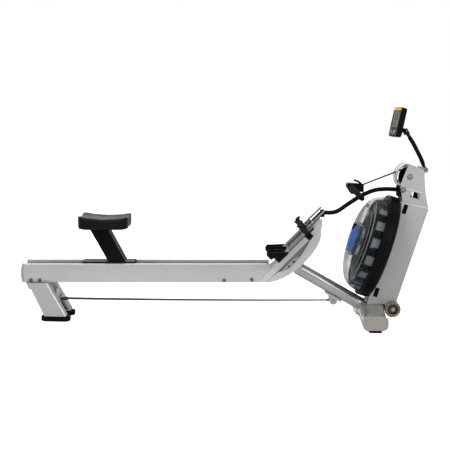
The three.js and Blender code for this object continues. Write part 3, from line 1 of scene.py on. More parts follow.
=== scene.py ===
# Water rowing machine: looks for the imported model. Metres, same frame as the CAD.
import bpy
import bmesh
import math
from mathutils import Matrix, Vector


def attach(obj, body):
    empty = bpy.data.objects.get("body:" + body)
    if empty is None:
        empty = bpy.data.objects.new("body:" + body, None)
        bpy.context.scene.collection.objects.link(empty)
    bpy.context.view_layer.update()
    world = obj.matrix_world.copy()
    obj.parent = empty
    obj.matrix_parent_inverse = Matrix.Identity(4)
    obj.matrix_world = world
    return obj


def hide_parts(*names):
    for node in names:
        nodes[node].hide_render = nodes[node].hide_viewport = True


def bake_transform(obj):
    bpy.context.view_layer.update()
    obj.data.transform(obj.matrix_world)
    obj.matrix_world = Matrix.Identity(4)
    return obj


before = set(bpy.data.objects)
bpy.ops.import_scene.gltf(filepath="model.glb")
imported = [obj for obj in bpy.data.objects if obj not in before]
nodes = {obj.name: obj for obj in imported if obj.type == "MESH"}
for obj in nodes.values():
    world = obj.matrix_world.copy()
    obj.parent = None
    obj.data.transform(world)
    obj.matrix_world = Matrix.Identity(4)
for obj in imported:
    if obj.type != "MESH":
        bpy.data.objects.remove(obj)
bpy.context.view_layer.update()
scene = bpy.context.scene
mm = 0.001
degree = math.pi / 180
rake = 1.2 * degree
sides = (("near", -1), ("far", 1))

# Frames of the CAD: the rails, the tower, the tank, the handle, the foot ramp and the console

def shift(x, y, z):
    return Matrix.Translation((x * mm, y * mm, z * mm))


def spin(angle, axis):
    return Matrix.Rotation(angle, 4, axis)


machine = shift(-1013.38, 0, 193.5) @ spin(-rake, "Y")
lean = 18.2 * degree
tower = machine @ shift(1744, 0, -113.1) @ spin(lean, "Y")
tank = tower @ shift(-0.3, 0, 292.85) @ spin(-math.pi / 2, "Y")
handle = machine @ shift(1655.9, 0, 485.35)
ramp = machine @ shift(1186, 0, 0) @ spin(-45 * degree, "Y")
console = machine @ shift(1936, 0, 764) @ spin(19 * degree, "Z")
console @= spin(13.2 * degree, "Y")

# Camera at the photograph's viewing angle

camera_data = bpy.data.cameras.new("camera")
sensor_width, focal_pixels, picture_pixels = 36, 1176.5, 450
camera_data.sensor_width = sensor_width
camera_data.lens = focal_pixels / picture_pixels * sensor_width
camera_data.clip_end = 60
camera = bpy.data.objects.new("camera", camera_data)
scene.collection.objects.link(camera)
ahead = machine.to_3x3() @ Vector((-0.00505, 0.99508, -0.09896))
up = machine.to_3x3() @ Vector((-0.0005, 0.09896, 0.99509))
right = ahead.cross(up).normalized()
up = right.cross(ahead).normalized()
turn = Matrix((right, up, -ahead)).transposed().to_4x4()
camera.matrix_world = Matrix.Translation(machine @ (Vector((1051.65, -6000, 879.59)) * mm)) @ turn
scene.camera = camera

# Mesh helpers

def new_object(name, verts, faces, place):
    mesh = bpy.data.meshes.new(name)
    mesh.from_pydata([tuple(v) for v in verts], [], faces)
    mesh.transform(place)
    if place.to_3x3().determinant() < 0:
        mesh.flip_normals()
    mesh.update()
    made = bpy.data.objects.new(name, mesh)
    scene.collection.objects.link(made)
    mesh.shade_smooth()
    return made


def add(name, part, place, material, slot="black_plastic", body="frame", angle=35, bevel=0, segments=2):
    """A piece from vertices and faces, in millimetres in one of the frames above."""
    verts, faces = part
    made = new_object(name, [Vector(v) * mm for v in verts], faces, place)
    bm = bmesh.new()
    bm.from_mesh(made.data)
    bmesh.ops.recalc_face_normals(bm, faces=bm.faces)
    bm.to_mesh(made.data)
    bm.free()
    if bevel:
        rounding = made.modifiers.new("rounding", "BEVEL")
        rounding.width = bevel * mm
        rounding.segments = segments
        rounding.limit_method = "ANGLE"
        rounding.angle_limit = 30 * degree
        bake(made)
    made.data.shade_smooth()
    made.data.set_sharp_from_angle(angle=angle * degree)
    made.data.materials.append(material)
    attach(made, body)
    return made


def bake(made):
    """Applies the modifiers of a piece."""
    bpy.context.view_layer.update()
    deps = bpy.context.evaluated_depsgraph_get()
    final = bpy.data.meshes.new_from_object(made.evaluated_get(deps))
    made.modifiers.clear()
    old = made.data
    made.data = final
    bpy.data.meshes.remove(old)


def loft_faces(rows, count, closed=False):
    """The faces between rows of points, each row a loop. Closed joins the last row to the first."""
    faces = []
    for row in range(rows if closed else rows - 1):
        here, there = row * count, (row + 1) % rows * count
        for i in range(count):
            j = (i + 1) % count
            faces.append((here + i, here + j, there + j, there + i))
    return faces


def solid_faces(rows, count):
    """A loft with a face over its first and last rows."""
    last = (rows - 1) * count
    return loft_faces(rows, count) + [tuple(reversed(range(count))), tuple(range(last, last + count))]


def extruded(outline, start, end, axis):
    """An outline carried along X, Y or Z (axis 0, 1 or 2). Its points give the two other coordinates."""
    verts = [(*p[:axis], level, *p[axis:]) for level in (start, end) for p in outline]
    n = len(outline)
    return verts, [tuple(range(n)), tuple(reversed(range(n, 2 * n)))] + loft_faces(2, n)


def box_mesh(lo, hi):
    (x0, y0, z0), (x1, y1, z1) = lo, hi
    return extruded([(x0, y0), (x1, y0), (x1, y1), (x0, y1)], z0, z1, 2)


def polar(r, a):
    return r * math.cos(a), r * math.sin(a)


def turned_mesh(profile, segments=64):
    """A ring of profile points (radius, height) about local Z."""
    verts = []
    for i in range(segments):
        verts += [(*polar(r, 2 * math.pi * i / segments), z) for r, z in profile]
    return verts, loft_faces(segments, len(profile), closed=True)


def heading(points, i):
    return (points[min(i + 1, len(points) - 1)] - points[max(i - 1, 0)]).normalized()


def sweep_mesh(route, section, scales=None):
    """A section of (side, up) points carried along a route of points in millimetres."""
    verts = []
    points = [Vector(p) for p in route]
    side = None
    for i, p in enumerate(points):
        along = heading(points, i)
        if side is None:
            side = Vector((0, 1, 0)).cross(along)
            if side.length < 1e-6:
                side = Vector((1, 0, 0)).cross(along)
            side.normalize()
        side = (side - along * side.dot(along)).normalized()
        top = along.cross(side)
        k = scales[i] if scales else 1
        verts += [p + (side * s + top * t) * k for s, t in section]
    return verts, solid_faces(len(points), len(section))


def ring(radius, count):
    return [polar(radius, 2 * math.pi * i / count) for i in range(count)]


def smooth_route(points, per=10):
    """A rounded route through chosen points (centripetal spline)."""
    def mixed(p, q, start, end):
        return p * ((end - t) / (end - start)) + q * ((t - start) / (end - start))

    pts = [Vector(p) for p in points]
    ext = [pts[0] * 2 - pts[1]] + pts + [pts[-1] * 2 - pts[-2]]
    out = []
    for i in range(1, len(ext) - 2):
        p0, p1, p2, p3 = ext[i - 1:i + 3]
        t1 = (p1 - p0).length ** 0.5 or 1e-6
        t2 = t1 + ((p2 - p1).length ** 0.5 or 1e-6)
        t3 = t2 + ((p3 - p2).length ** 0.5 or 1e-6)
        for k in range(per):
            t = t1 + (t2 - t1) * k / per
            middle = mixed(p1, p2, t1, t2)
            before = mixed(mixed(p0, p1, 0, t1), middle, 0, t2)
            after = mixed(middle, mixed(p2, p3, t2, t3), t1, t3)
            out.append(mixed(before, after, t1, t2))
    out.append(pts[-1])
    return out


def prism_mesh(outline, side, inside, outside):
    """An outline in (x, z), carried along Y between two distances from the middle, on one side."""
    return extruded(outline, *sorted((side * inside, side * outside)), 1)


def round_outline(lo, hi, corner, steps=6):
    """A rectangle with round corners."""
    (x0, y0), (x1, y1) = lo, hi
    outline = []
    for x, y, start in ((x1 - corner, y1 - corner, 0), (x0 + corner, y1 - corner, 90),
                        (x0 + corner, y0 + corner, 180), (x1 - corner, y0 + corner, 270)):
        for i in range(steps + 1):
            a = (start + 90 * i / steps) * degree
            across, up_by = polar(corner, a)
            outline.append((x + across, y + up_by))
    return outline


def merged(*parts):
    verts, faces = [], []
    for v, f in parts:
        base = len(verts)
        verts += [Vector(p) for p in v]
        faces += [tuple(base + i for i in face) for face in f]
    return verts, faces


def moved(part, place):
    v, f = part
    return [place @ Vector(p) for p in v], f


def bolt_mesh(radius, height, socket=0.5):
    """A button head with a hexagon socket, standing on local Z = 0."""
    count, sixth = 24, math.pi / 6
    turns = [2 * math.pi * i / count for i in range(count)]
    verts = []
    for r, z in ((1.0, 0.0), (1.0, 0.35), (0.92, 0.68), (0.72, 0.95), (socket + 0.06, 1.0)):
        verts += [(*polar(r * radius, a), z * height) for a in turns]
    for depth in (1.0, 0.45):
        for a in turns:
            sector = (a + sixth) % (2 * sixth) - sixth
            verts.append((*polar(socket * radius * math.cos(sixth) / math.cos(sector), a), depth * height))
    return verts, solid_faces(len(verts) // count, count)

# Materials: each is a small network in the piece's own space, in metres

def fill(made, **values):
    """Sets inputs and properties of a shader node. In an input's name an underscore stands for a space."""
    for key, value in values.items():
        label = key.replace("_", " ")
        if label in made.inputs:
            made.inputs[label].default_value = value
        else:
            setattr(made, key, value)
    return made


def new_node(tree, kind, **values):
    return fill(tree.nodes.new("ShaderNode" + kind), **values)


class Look:
    """A principled surface whose colour, gloss and relief vary over it."""

    def __init__(self, name, rough, metal=0.0, **sockets):
        self.material = bpy.data.materials.new(name)
        self.material.use_nodes = True
        self.tree = self.material.node_tree
        self.shader = self.tree.nodes["Principled BSDF"]
        if any(word in name for word in ("black", "rubber", "dark", "blue")):
            fill(self.shader, Specular_IOR_Level=0.05)
        fill(self.shader, Roughness=rough, Metallic=metal, **sockets)
        self.coords = self.tree.nodes.new("ShaderNodeTexCoord").outputs["Object"]
        self.normal = None

    def node(self, kind, **values):
        return new_node(self.tree, kind, **values)

    def link(self, a, b):
        self.tree.links.new(a, b)

    def stretched(self, scale=(1, 1, 1), turn=(0, 0, 0)):
        mapping = self.node("Mapping", Scale=scale, Rotation=turn)
        self.link(self.coords, mapping.inputs["Vector"])
        return mapping.outputs["Vector"]

    def noise(self, scale, detail, stretch=(1, 1, 1)):
        made = self.node("TexNoise", Scale=scale, Detail=detail, Roughness=0.55)
        self.link(self.stretched(stretch), made.inputs["Vector"])
        return made.outputs["Fac"]

    def cells(self, scale, feature="F1"):
        made = self.node("TexVoronoi", feature=feature, Scale=scale)
        self.link(self.stretched(), made.inputs["Vector"])
        return made.outputs["Distance"]

    def bands(self, scale, turn=(0, 0, 0), direction="X"):
        made = self.node("TexWave", bands_direction=direction, Scale=scale)
        self.link(self.stretched(turn=turn), made.inputs["Vector"])
        return made.outputs["Fac"]

    def ramp(self, fac, low, high, start=0.3, end=0.7):
        made = self.node("ValToRGB")
        for stop, position, colour in zip(made.color_ramp.elements, (start, end), (low, high)):
            stop.position, stop.color = position, (*colour, 1)
        self.link(fac, made.inputs["Fac"])
        return made.outputs["Color"]

    def span(self, fac, low, high, start=0.3, end=0.7):
        made = self.node("MapRange", From_Min=start, From_Max=end, To_Min=low, To_Max=high)
        self.link(fac, made.inputs["Value"])
        return made.outputs["Result"]

    def maths(self, operation, one, two):
        made = self.node("Math", operation=operation)
        self.link(one, made.inputs[0])
        self.link(two, made.inputs[1])
        return made.outputs[0]

    def colour(self, output):
        self.link(output, self.shader.inputs["Base Color"])

    def tint(self, fac, colour, low, high, start=0.3, end=0.7):
        """The colour, darker at one end of a pattern and lighter at the other."""
        self.colour(self.ramp(fac, shade(colour, low), shade(colour, high), start, end))

    def gloss(self, output):
        self.link(output, self.shader.inputs["Roughness"])

    def relief(self, height, depth):
        bump = self.node("Bump", Strength=1.0, Distance=depth * mm)
        self.link(height, bump.inputs["Height"])
        if self.normal:
            self.link(self.normal, bump.inputs["Normal"])
        self.normal = bump.outputs["Normal"]
        self.link(self.normal, self.shader.inputs["Normal"])

    def soften(self, radius):
        """Rounds the look of sharp edges."""
        bevel = self.node("Bevel", samples=4, Radius=radius * mm)
        self.normal = bevel.outputs["Normal"]
        self.link(self.normal, self.shader.inputs["Normal"])


def shade(colour, k):
    return tuple(min(1.0, c * k) for c in colour)


def painted(name, colour, rough, metal, grain=900, depth=0.03, drift=0.07, coat=0.0):
    look = Look(name, rough, metal, **({"Coat_Weight": coat, "Coat_Roughness": 0.18} if coat else {}))
    look.soften(0.8)
    look.tint(look.noise(7, 5), colour, 1 - drift, 1 + drift)
    look.gloss(look.span(look.noise(38, 6), rough - 0.07, rough + 0.09))
    look.relief(look.noise(grain, 2), depth)
    return look.material


def satin_silver(name, colour, rough=0.33, along=(1, 30, 30), metal=0.35):
    look = Look(name, rough, metal)
    look.soften(0.9)
    streak = look.noise(26, 4, stretch=along)
    mixed = look.maths("ADD", look.span(streak, -0.14, 0.14), look.noise(4, 4))
    look.tint(mixed, colour, 0.93, 1.05)
    look.gloss(look.span(streak, rough - 0.06, rough + 0.08))
    look.relief(streak, 0.015)
    return look.material


def moulded(name, colour, rough, grain=1400, depth=0.05, drift=0.25):
    look = Look(name, rough)
    look.soften(0.7)
    look.tint(look.noise(16, 5), colour, 1 - drift, 1 + drift, end=0.72)
    look.gloss(look.span(look.noise(60, 5), rough - 0.08, rough + 0.1))
    look.relief(look.cells(grain), depth)
    return look.material


def rubbery(name, colour, rough=0.75):
    look = Look(name, rough)
    look.tint(look.noise(30, 6), colour, 0.7, 1.5)
    look.gloss(look.span(look.noise(140, 4), rough - 0.1, rough + 0.12))
    look.relief(look.noise(1600, 3), 0.12)
    return look.material


def bright_metal(name, colour, rough=0.25):
    look = Look(name, rough, 1.0)
    streak = look.noise(60, 4, stretch=(1, 25, 1))
    look.tint(streak, colour, 0.82, 1.06, 0.25, 0.75)
    look.gloss(look.span(streak, rough - 0.07, rough + 0.12))
    look.relief(streak, 0.02)
    return look.material


def braided(name, colour, pitch=2.2):
    look = Look(name, 0.7)
    rate = 1000 / pitch / 6.28
    one = look.bands(rate, turn=(0, 0.7, 0.6))
    both = look.maths("MULTIPLY", one, look.bands(rate, turn=(0, -0.7, -0.6)))
    look.tint(both, colour, 0.5, 1.9, 0.0, 0.6)
    look.relief(both, 0.4)
    return look.material


silver = satin_silver("satin_silver", (0.44, 0.442, 0.455))
strut_silver = satin_silver("strut_silver", (0.36, 0.36, 0.352), 0.26, along=(30, 30, 2), metal=0.75)
silver_ramp = satin_silver("satin_silver_ramp", (0.50, 0.50, 0.49), along=(20, 30, 20))
# Dark silver for the plates in the bowed beams' openings: painted shade.
web_shadow = satin_silver("web_silver", (0.20, 0.195, 0.18), 0.5, along=(30, 30, 2))
leg_paint = painted("grey_powder_coat", (0.36, 0.36, 0.37), 0.42, 0.1)
tower_paint = painted("tower_powder_coat", (0.36, 0.36, 0.358), 0.5, 0.05, grain=700, depth=0.05, drift=0.05)
head_paint = painted("head_powder_coat", (0.44, 0.435, 0.425), 0.42, 0.1, drift=0.06)
foot_paint = painted("foot_gloss_coat", (0.26, 0.26, 0.238), 0.2, 0.15, grain=500, depth=0.01, drift=0.05,
                     coat=0.7)
# Near-white paint for thin strips on edges and folds: painted highlights.
edge_highlight_paint = painted("pale_fold_edge", (0.80, 0.80, 0.78), 0.3, 0.2, drift=0.04)
cap_plastic = moulded("foot_cap_plastic", (0.265, 0.252, 0.228), 0.35, drift=0.06)
black_coat = painted("black_powder_coat", (0.0038, 0.0038, 0.0046), 0.38, 0.0, depth=0.05, drift=0.3)
black_plastic = moulded("black_moulded_plastic", (0.0030, 0.0030, 0.0037), 0.38)
black_dull = moulded("black_dull_plastic", (0.0030, 0.0030, 0.0034), 0.6)
cage_black = moulded("cage_black_plastic", (0.005, 0.0055, 0.006), 0.3, grain=500, depth=0.03)
display_dark = moulded("dark_display_marks", (0.018, 0.022, 0.018), 0.3)
grey_key = moulded("grey_key", (0.16, 0.165, 0.18), 0.35, drift=0.1)
sole_rubber = rubbery("sole_rubber", (0.0036, 0.0036, 0.0036))
board_plastic = moulded("grey_board_plastic", (0.13, 0.13, 0.135), 0.4, drift=0.1)
steel = bright_metal("brushed_steel", (0.36, 0.36, 0.355))
zinc = bright_metal("zinc_bolts", (0.13, 0.128, 0.12), 0.3)
cord_cover = braided("braided_cord", (0.045, 0.045, 0.05))
rope_cover = braided("braided_rope", (0.011, 0.011, 0.012), 1.8)
blue_plastic = moulded("blue_moulded_plastic", (0.002, 0.105, 0.52), 0.33, drift=0.12)
navy_plastic = moulded("navy_plastic", (0.007, 0.016, 0.05), 0.35, drift=0.15)
amber_panel = moulded("amber_panel", (0.72, 0.37, 0.012), 0.35, drift=0.08)


def clouded(name, rough, cloud, dark, light, sheen, reliefs, **sockets):
    """Colour and gloss drift over the surface. A relief has a depth, a pattern and the pattern's values."""
    look = Look(name, rough, **sockets)
    look.colour(look.ramp(look.noise(*cloud), dark, light))
    scale, detail, low, high = sheen
    look.gloss(look.span(look.noise(scale, detail), low, high))
    for depth, pattern, *values in reliefs:
        look.relief(pattern(look, *values), depth)
    return look.material


def webbing():
    look = Look("black_webbing", 0.8)
    ribs = look.bands(170, direction="Y")
    both = look.maths("ADD", ribs, look.noise(500, 3))
    look.colour(look.ramp(both, (0.004, 0.004, 0.0045), (0.014, 0.014, 0.015), end=0.9))
    look.relief(both, 0.3)
    return look.material


def clear_plastic(name, colour, low, high, rough=0.06, power=2.6):
    """Clear moulded plastic: nearly open when seen square on, more solid towards its rims."""
    look = Look(name, rough, Coat_Weight=0.2, Specular_IOR_Level=0.25, Coat_Roughness=0.03)
    edge = look.node("LayerWeight", Blend=0.35)
    bend = look.node("Math", operation="POWER")
    bend.inputs[1].default_value = power
    look.link(edge.outputs["Facing"], bend.inputs[0])
    haze = look.maths("ADD", look.span(look.noise(9, 5), -0.03, 0.05),
                      look.span(bend.outputs[0], low, high, 0.0, 1.0))
    look.link(haze, look.shader.inputs["Alpha"])
    look.tint(look.noise(5, 4), colour, 0.92, 1.05)
    look.gloss(look.span(look.noise(24, 5), rough - 0.02, rough + 0.05))
    look.relief(look.noise(3, 2), 0.8)
    return look.material


tyre = clouded("amber_urethane", 0.3, (55, 5), (0.12, 0.098, 0.035), (0.25, 0.22, 0.11), (120, 4, 0.22, 0.4),
               [(0.08, Look.noise, 300, 3)], Transmission_Weight=0.15, IOR=1.5, Subsurface_Weight=0.2,
               Subsurface_Scale=0.004)
grip_foam = clouded("black_grip_foam", 0.85, (25, 5), (0.0028, 0.0028, 0.0032), (0.0065, 0.0065, 0.007),
                    (220, 4, 0.75, 0.95), [(0.35, Look.cells, 700)], Sheen_Weight=0.02)
seat_vinyl = clouded("black_seat_vinyl", 0.42, (9, 5), (0.0042, 0.0037, 0.005), (0.0085, 0.0075, 0.0098),
                     (45, 5, 0.34, 0.52), [(0.22, Look.cells, 520, "SMOOTH_F1"), (0.25, Look.noise, 60, 4)],
                     Sheen_Weight=0.02)
strap_web = webbing()
bowl_clear = clear_plastic("clear_bowl", (0.05, 0.053, 0.055), 0.02, 0.93, power=1.55)
window_clear = clear_plastic("baffle_window", (0.27, 0.33, 0.34), 0.62, 0.98, 0.12)
cone_clear = clear_plastic("inner_clear", (0.09, 0.11, 0.115), 0.03, 0.3, 0.12, 3.4)
# A lighter clear plastic for the thin rings inside the bowl: painted highlight.
ring_highlight_clear = clear_plastic("moulded_ring_clear", (0.30, 0.33, 0.34), 0.75, 0.98, 0.1)
water_tint = clouded("tank_water", 0.08, (6, 5), (0.13, 0.17, 0.175), (0.20, 0.245, 0.25),
                     (14, 5, 0.05, 0.16), [(1.5, Look.noise, 10, 3)], Alpha=0.78)
display_glass = clouded("display_window", 0.12, (60, 4), (0.075, 0.097, 0.07), (0.112, 0.138, 0.104),
                        (90, 3, 0.08, 0.2), [(0.05, Look.noise, 20, 2)], Coat_Weight=0.5)

# Looks of the CAD nodes. A star stands for near and far

for finish, names in (
        (leg_paint, "rear_leg_* rear_cross_plate"), (silver_ramp, "foot_ramp bowed_beam_*"),
        (sole_rubber, "rear_foot_* front_foot_* seat_rollers_rear seat_rollers_front"),
        (silver, "rail_*"), (strut_silver, "front_strut"), (head_paint, "nose_guard"),
        (tower_paint, "tower_plate_* tower_rear_cover tower_front_panel"), (cap_plastic, "foot_cap_*"),
        (foot_paint, "front_foot_bar"), (black_plastic, "tank_back tank_ring tank_baffle rope_pulley"),
        (black_plastic, "cord_pulley dial_knob handle_bar heel_cup_* console_case"),
        (black_coat, "handle_rest rest_bracket toe_bracket console_arm seat_carriage seat_post"),
        (cord_cover, "shock_cord"), (rope_cover, "drive_rope pull_rope"), (bowl_clear, "tank_bowl"),
        (water_tint, "water"), (steel, "impeller transport_axle arm_bracket"),
        (blue_plastic, "resistance_dial"), (grip_foam, "handle_grip_*"), (board_plastic, "foot_board_*"),
        (strap_web, "foot_strap_*"), (seat_vinyl, "seat_cushion"), (tyre, "transport_wheel_*"),
        (display_glass, "console_screen"), (amber_panel, "console_button_left"),
        (grey_key, "console_button_right")):
    for name in names.split():
        for place in ("near", "far") if "*" in name else ("",):
            finishes = nodes[name.replace("*", place)].data.materials
            finishes.clear()
            finishes.append(finish)


def fastener(name, place, at, out, radius, height, body="frame", material=zinc, slot="steel", socket=0.5):
    """A button-head bolt whose head stands out of a face."""
    spot = place @ (Vector(at) * mm)
    direction = (place.to_3x3() @ Vector(out)).normalized()
    frame_at = Matrix.Translation(spot) @ direction.to_track_quat("Z", "Y").to_matrix().to_4x4()
    return add(name, bolt_mesh(radius, height, socket), frame_at, material, slot, body, angle=40)

# Tank: smooth shell, clamp ring, clear bowl, and the cage and cone inside it, with pale rings at its moulded
# ring edges that paint their highlight lines

bowl_floor = 142.0


def sector_mesh(r0, r1, z0, z1, a0, a1, steps=4):
    """A block that follows a circle about local Z, between two angles in degrees."""
    verts = []
    for i in range(steps + 1):
        a = (a0 + (a1 - a0) * i / steps) * degree
        verts += [(*polar(r, a), z) for r, z in ((r0, z0), (r1, z0), (r1, z1), (r0, z1))]
    return verts, solid_faces(steps + 1, 4)


def make_tank():
    shell = [(9.3, 0), (249, 0), (257, 2.5), (264, 9), (267, 18), (267, 42), (263, 42), (263, 20), (259, 12),
             (247, 4), (9.3, 4)]
    back = add("tank_back_shell", turned_mesh(shell, 96), tank, black_plastic, angle=40)
    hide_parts("tank_back")
    clamp = [(263.3, 42.3), (266, 42.3), (267, 43.5), (267, 58), (265.6, 62.2), (262, 65.4), (258, 66.3),
             (254.5, 65), (252.4, 62.4), (251.9, 60), (251.9, 48.6), (263.3, 48.6)]
    clamp_ring = add("tank_clamp_ring", turned_mesh(clamp, 96), tank, black_plastic, angle=50)
    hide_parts("tank_ring")
    screw = moved(bolt_mesh(4.2, 2.2), Matrix.Translation((259, 0, 65.2)))
    screws = [moved(screw, spin((i + 0.5) * math.pi / 8, "Z")) for i in range(16)]
    add("tank_ring_screws", merged(*screws), tank, black_plastic)

    wall = [(251, 48.3), (251, 62.3), (247, 89), (235, 117.5), (213.6, 140.6), (186.9, 156.6), (154.9, 168.2),
            (122.8, 174.4), (96, 177.6)]
    outer = [(p.x, p.z) for p in smooth_route([(r, 0, z) for r, z in wall], 5)]
    inner = []
    for i, (r, z) in enumerate(outer):
        share = i / len(outer)
        inner.append((r - 3.3 * (1 - 0.55 * share), z - 0.6 - 3.2 * share))
    floor = bowl_floor
    recess = [(91, 178), (86.5, 177.2), (84.4, 174.5), (84, 171), (84, floor + 2), (82, floor), (9.6, floor),
              (9.6, floor - 4), (86, floor - 4), (88, floor - 2), (88, 170), (91, 172.5)]
    foot = [(262.4, 42.6), (262.4, 48.2), (252.5, 48.3)]
    profile = foot + outer + recess + inner[-2::-1] + [(247.6, 42.6)]
    bowl = add("tank_clear_bowl", turned_mesh(profile, 128), tank, bowl_clear, "tank_clear", angle=50)
    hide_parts("tank_bowl")

    windows = 15
    pitch = 360 / windows
    hoops = [turned_mesh([(221, 49.5), (229, 49.5), (229, 60), (221, 60)], 90),
             turned_mesh([(222, 103), (229.6, 103), (228, 111), (221, 112)], 90)]
    posts = [sector_mesh(221.5, 229.3, 58, 105, 60 + pitch * i + 6.9, 60 + pitch * i + 17.1)
             for i in range(windows)]
    rib = box_mesh((163, -3, 60), (222, 3, 84))
    ribs = [moved(rib, spin((i + 0.5) * math.pi / 3, "Z")) for i in range(6)]
    collar = turned_mesh([(162, 60), (172, 60), (172, 84), (162, 84)], 72)
    cage = add("tank_cage", merged(*hoops, *posts, *ribs, collar), tank, cage_black, bevel=0.8)
    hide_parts("tank_baffle")
    band = turned_mesh([(217.5, 57), (220.5, 57), (220.5, 106), (217.5, 106)], 90)
    add("tank_window_band", band, tank, window_clear, "tank_clear")

    top = floor - 8
    cone = [(163.5, 84.5), (171.5, 84.5), (171.5, 108), (132, top), (128.5, top), (163.5, 106)]
    add("tank_inner_cone", turned_mesh(cone, 96), tank, cone_clear, "tank_clear", angle=40)
    # Thin pale rings at moulded ring edges inside the bowl, lighter than the clear plastic: painted highlight
    # lines.
    edges = []
    for r, z in ((174, 110), (158, 122), (212, 114.5)):
        wire = [polar(1.9, k * math.pi / 4) for k in range(9)]
        edges.append(turned_mesh([(r + out, z + up_by) for out, up_by in wire], 96))
    add("tank_highlight_rings", merged(*edges), tank, ring_highlight_clear, "tank_clear")


def make_dial():
    """The dial and its pointer. A section has a radius, a height and a share of the dents for fingers."""
    seat = bowl_floor + 0.6
    count, lobes, verts = 128, 8, []
    sections = [(0.0, seat, 0), (50, seat, 0), (66, seat, 0.2), (72, seat + 3, 0.6), (73.8, seat + 9, 1),
                (73.8, seat + 25, 1), (72.4, seat + 31, 1), (68.5, seat + 35, 0.85), (62, seat + 37.2, 0.5),
                (48, seat + 39.2, 0.15), (26, seat + 40.6, 0), (0.0, seat + 41, 0)]
    for r, z, k in sections:
        for i in range(count):
            a = 2 * math.pi * i / count
            wave = 0.5 + 0.5 * math.cos(lobes * (a - math.pi / lobes))
            dent = 6.5 * k * wave ** 2.2
            verts.append((*polar(max(r - dent, 0.2), a), z))
    part = verts, solid_faces(len(sections), count)
    body = add("dial_body", part, tank, blue_plastic, "dial_blue", "dial", angle=50)
    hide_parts("resistance_dial")
    grip = moved(box_mesh((-17, -17, 0), (17, 17, 27)), Matrix.Translation((58, 0, seat + 17)))
    knob = add("dial_pointer", grip, tank, black_plastic, body="dial", bevel=3.2, segments=4)
    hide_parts("dial_knob")

# Seat cushion: a moulded pad with a saddle-shaped top, a rounded rim and a flat skirt

def cushion_mesh():
    """Rows up the skirt, each a share of the rim and a height, then inwards with a drop from the top."""
    half_u, half_y = 128.5, 152.5
    around = 96
    rows = [(0.90, 4.0), (0.95, 4.2), (0.98, 5.5), (0.99, 10.0), (1.0, 20.0), (1.0, 30.0)]
    verts = []

    def rim(a, k):
        c, s = math.cos(a), math.sin(a)
        n = 6.5
        r = (abs(c) ** n + abs(s) ** n) ** (-1 / n)
        pinch = 1 - 0.045 * max(0.0, c) * math.exp(-(s / 0.5) ** 2)
        return half_u * r * c * k * pinch, half_y * r * s * k

    def top(x, y):
        u, v = x / half_u, y / half_y
        ends = 13.0 * (u * u - 0.45) - 2.0 * u
        crest = 12.0 * math.exp(-((abs(v) - 0.8) / 0.3) ** 2)
        roll = -9.0 * max(0.0, abs(v) - 0.74) / 0.26 * (0.6 + 0.4 * u)
        ridge = 2.5 * math.exp(-(v / 0.16) ** 2) * (0.5 + 0.5 * u)
        return 51.0 + ends + crest + roll + ridge

    for k, z in rows:
        for i in range(around):
            x, y = rim(2 * math.pi * i / around, k)
            verts.append((x, y, z if z < 25 else min(z, top(x, y) - 10)))
    edge = [(1.0, 8.5), (0.995, 5.0), (0.98, 2.4), (0.955, 0.8), (0.92, 0.1)]
    inner = edge + [(0.86 - 0.086 * i, 0.0) for i in range(10)]
    for k, drop in inner:
        for i in range(around):
            x, y = rim(2 * math.pi * i / around, k)
            verts.append((x, y, top(x, y) - drop))
    count = len(rows) + len(inner)
    verts.append((0, 0, top(0, 0)))
    faces = loft_faces(count, around)
    last = (count - 1) * around
    faces += [(last + i, last + (i + 1) % around, count * around) for i in range(around)]
    faces.append(tuple(reversed(range(around))))
    return verts, faces


def plate_mesh(half_x, half_y, corner, z0, z1, steps=6):
    """A flat plate with round corners, about local Z."""
    return extruded(round_outline((-half_x, -half_y), (half_x, half_y), corner, steps), z0, z1, 2)


def make_seat():
    place = machine @ shift(407.5, 0, 269.6)
    pad = add("seat_pad", cushion_mesh(), place, seat_vinyl, "black_vinyl", "seat", angle=60)
    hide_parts("seat_cushion")
    base = plate_mesh(108, 128, 30, 0.2, 6.5)
    add("seat_base_board", base, place, black_dull, body="seat", bevel=1)
    for i, (u, y) in enumerate(((322, 40), (322, -40), (441, 40), (441, -40))):
        fastener(f"seat_screw_{i + 1}", machine, (u, y, 263.6), (0, 0, -1), 5, 3, "seat", slot="black_metal")

# Handle: foam grips with rounded ends on the bowed bar

grip_start, grip_length, bar_half = 52, 180.5, 232
bow_back, bow_down = 42, -50


def bow_at(y):
    share = (abs(y) / bar_half) ** 1.6
    return Vector((bow_back * share, y, bow_down * share))


def make_handle():
    for place, side in sides:
        route = [bow_at(side * (grip_start + grip_length * i / 24)) for i in range(25)]
        radii = [12.6, 13.8] + [14.4 + 0.35 * math.sin(i * 0.9) for i in range(20)] + [14.2, 13.4, 11.4]
        grip = add(f"foam_grip_{place}", sweep_mesh(route, ring(1, 32), radii), handle, grip_foam,
                   "black_foam", "handle", angle=60)
        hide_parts(f"handle_grip_{place}")
        end, before = bow_at(side * 232.4), bow_at(side * 226)
        outward = (end - before).to_track_quat("Z", "Y")
        spot = handle @ Matrix.Translation(end * mm) @ outward.to_matrix().to_4x4()
        cap = turned_mesh([(0.3, 0), (9.5, 0), (10.5, -1.5), (10.5, -4), (9.2, -4), (9.2, -9), (0.3, -9)], 32)
        add(f"grip_end_{place}", cap, spot, black_plastic, body="handle")

# Transport wheels: amber tyres on black cores with grey spokes and silver hubs

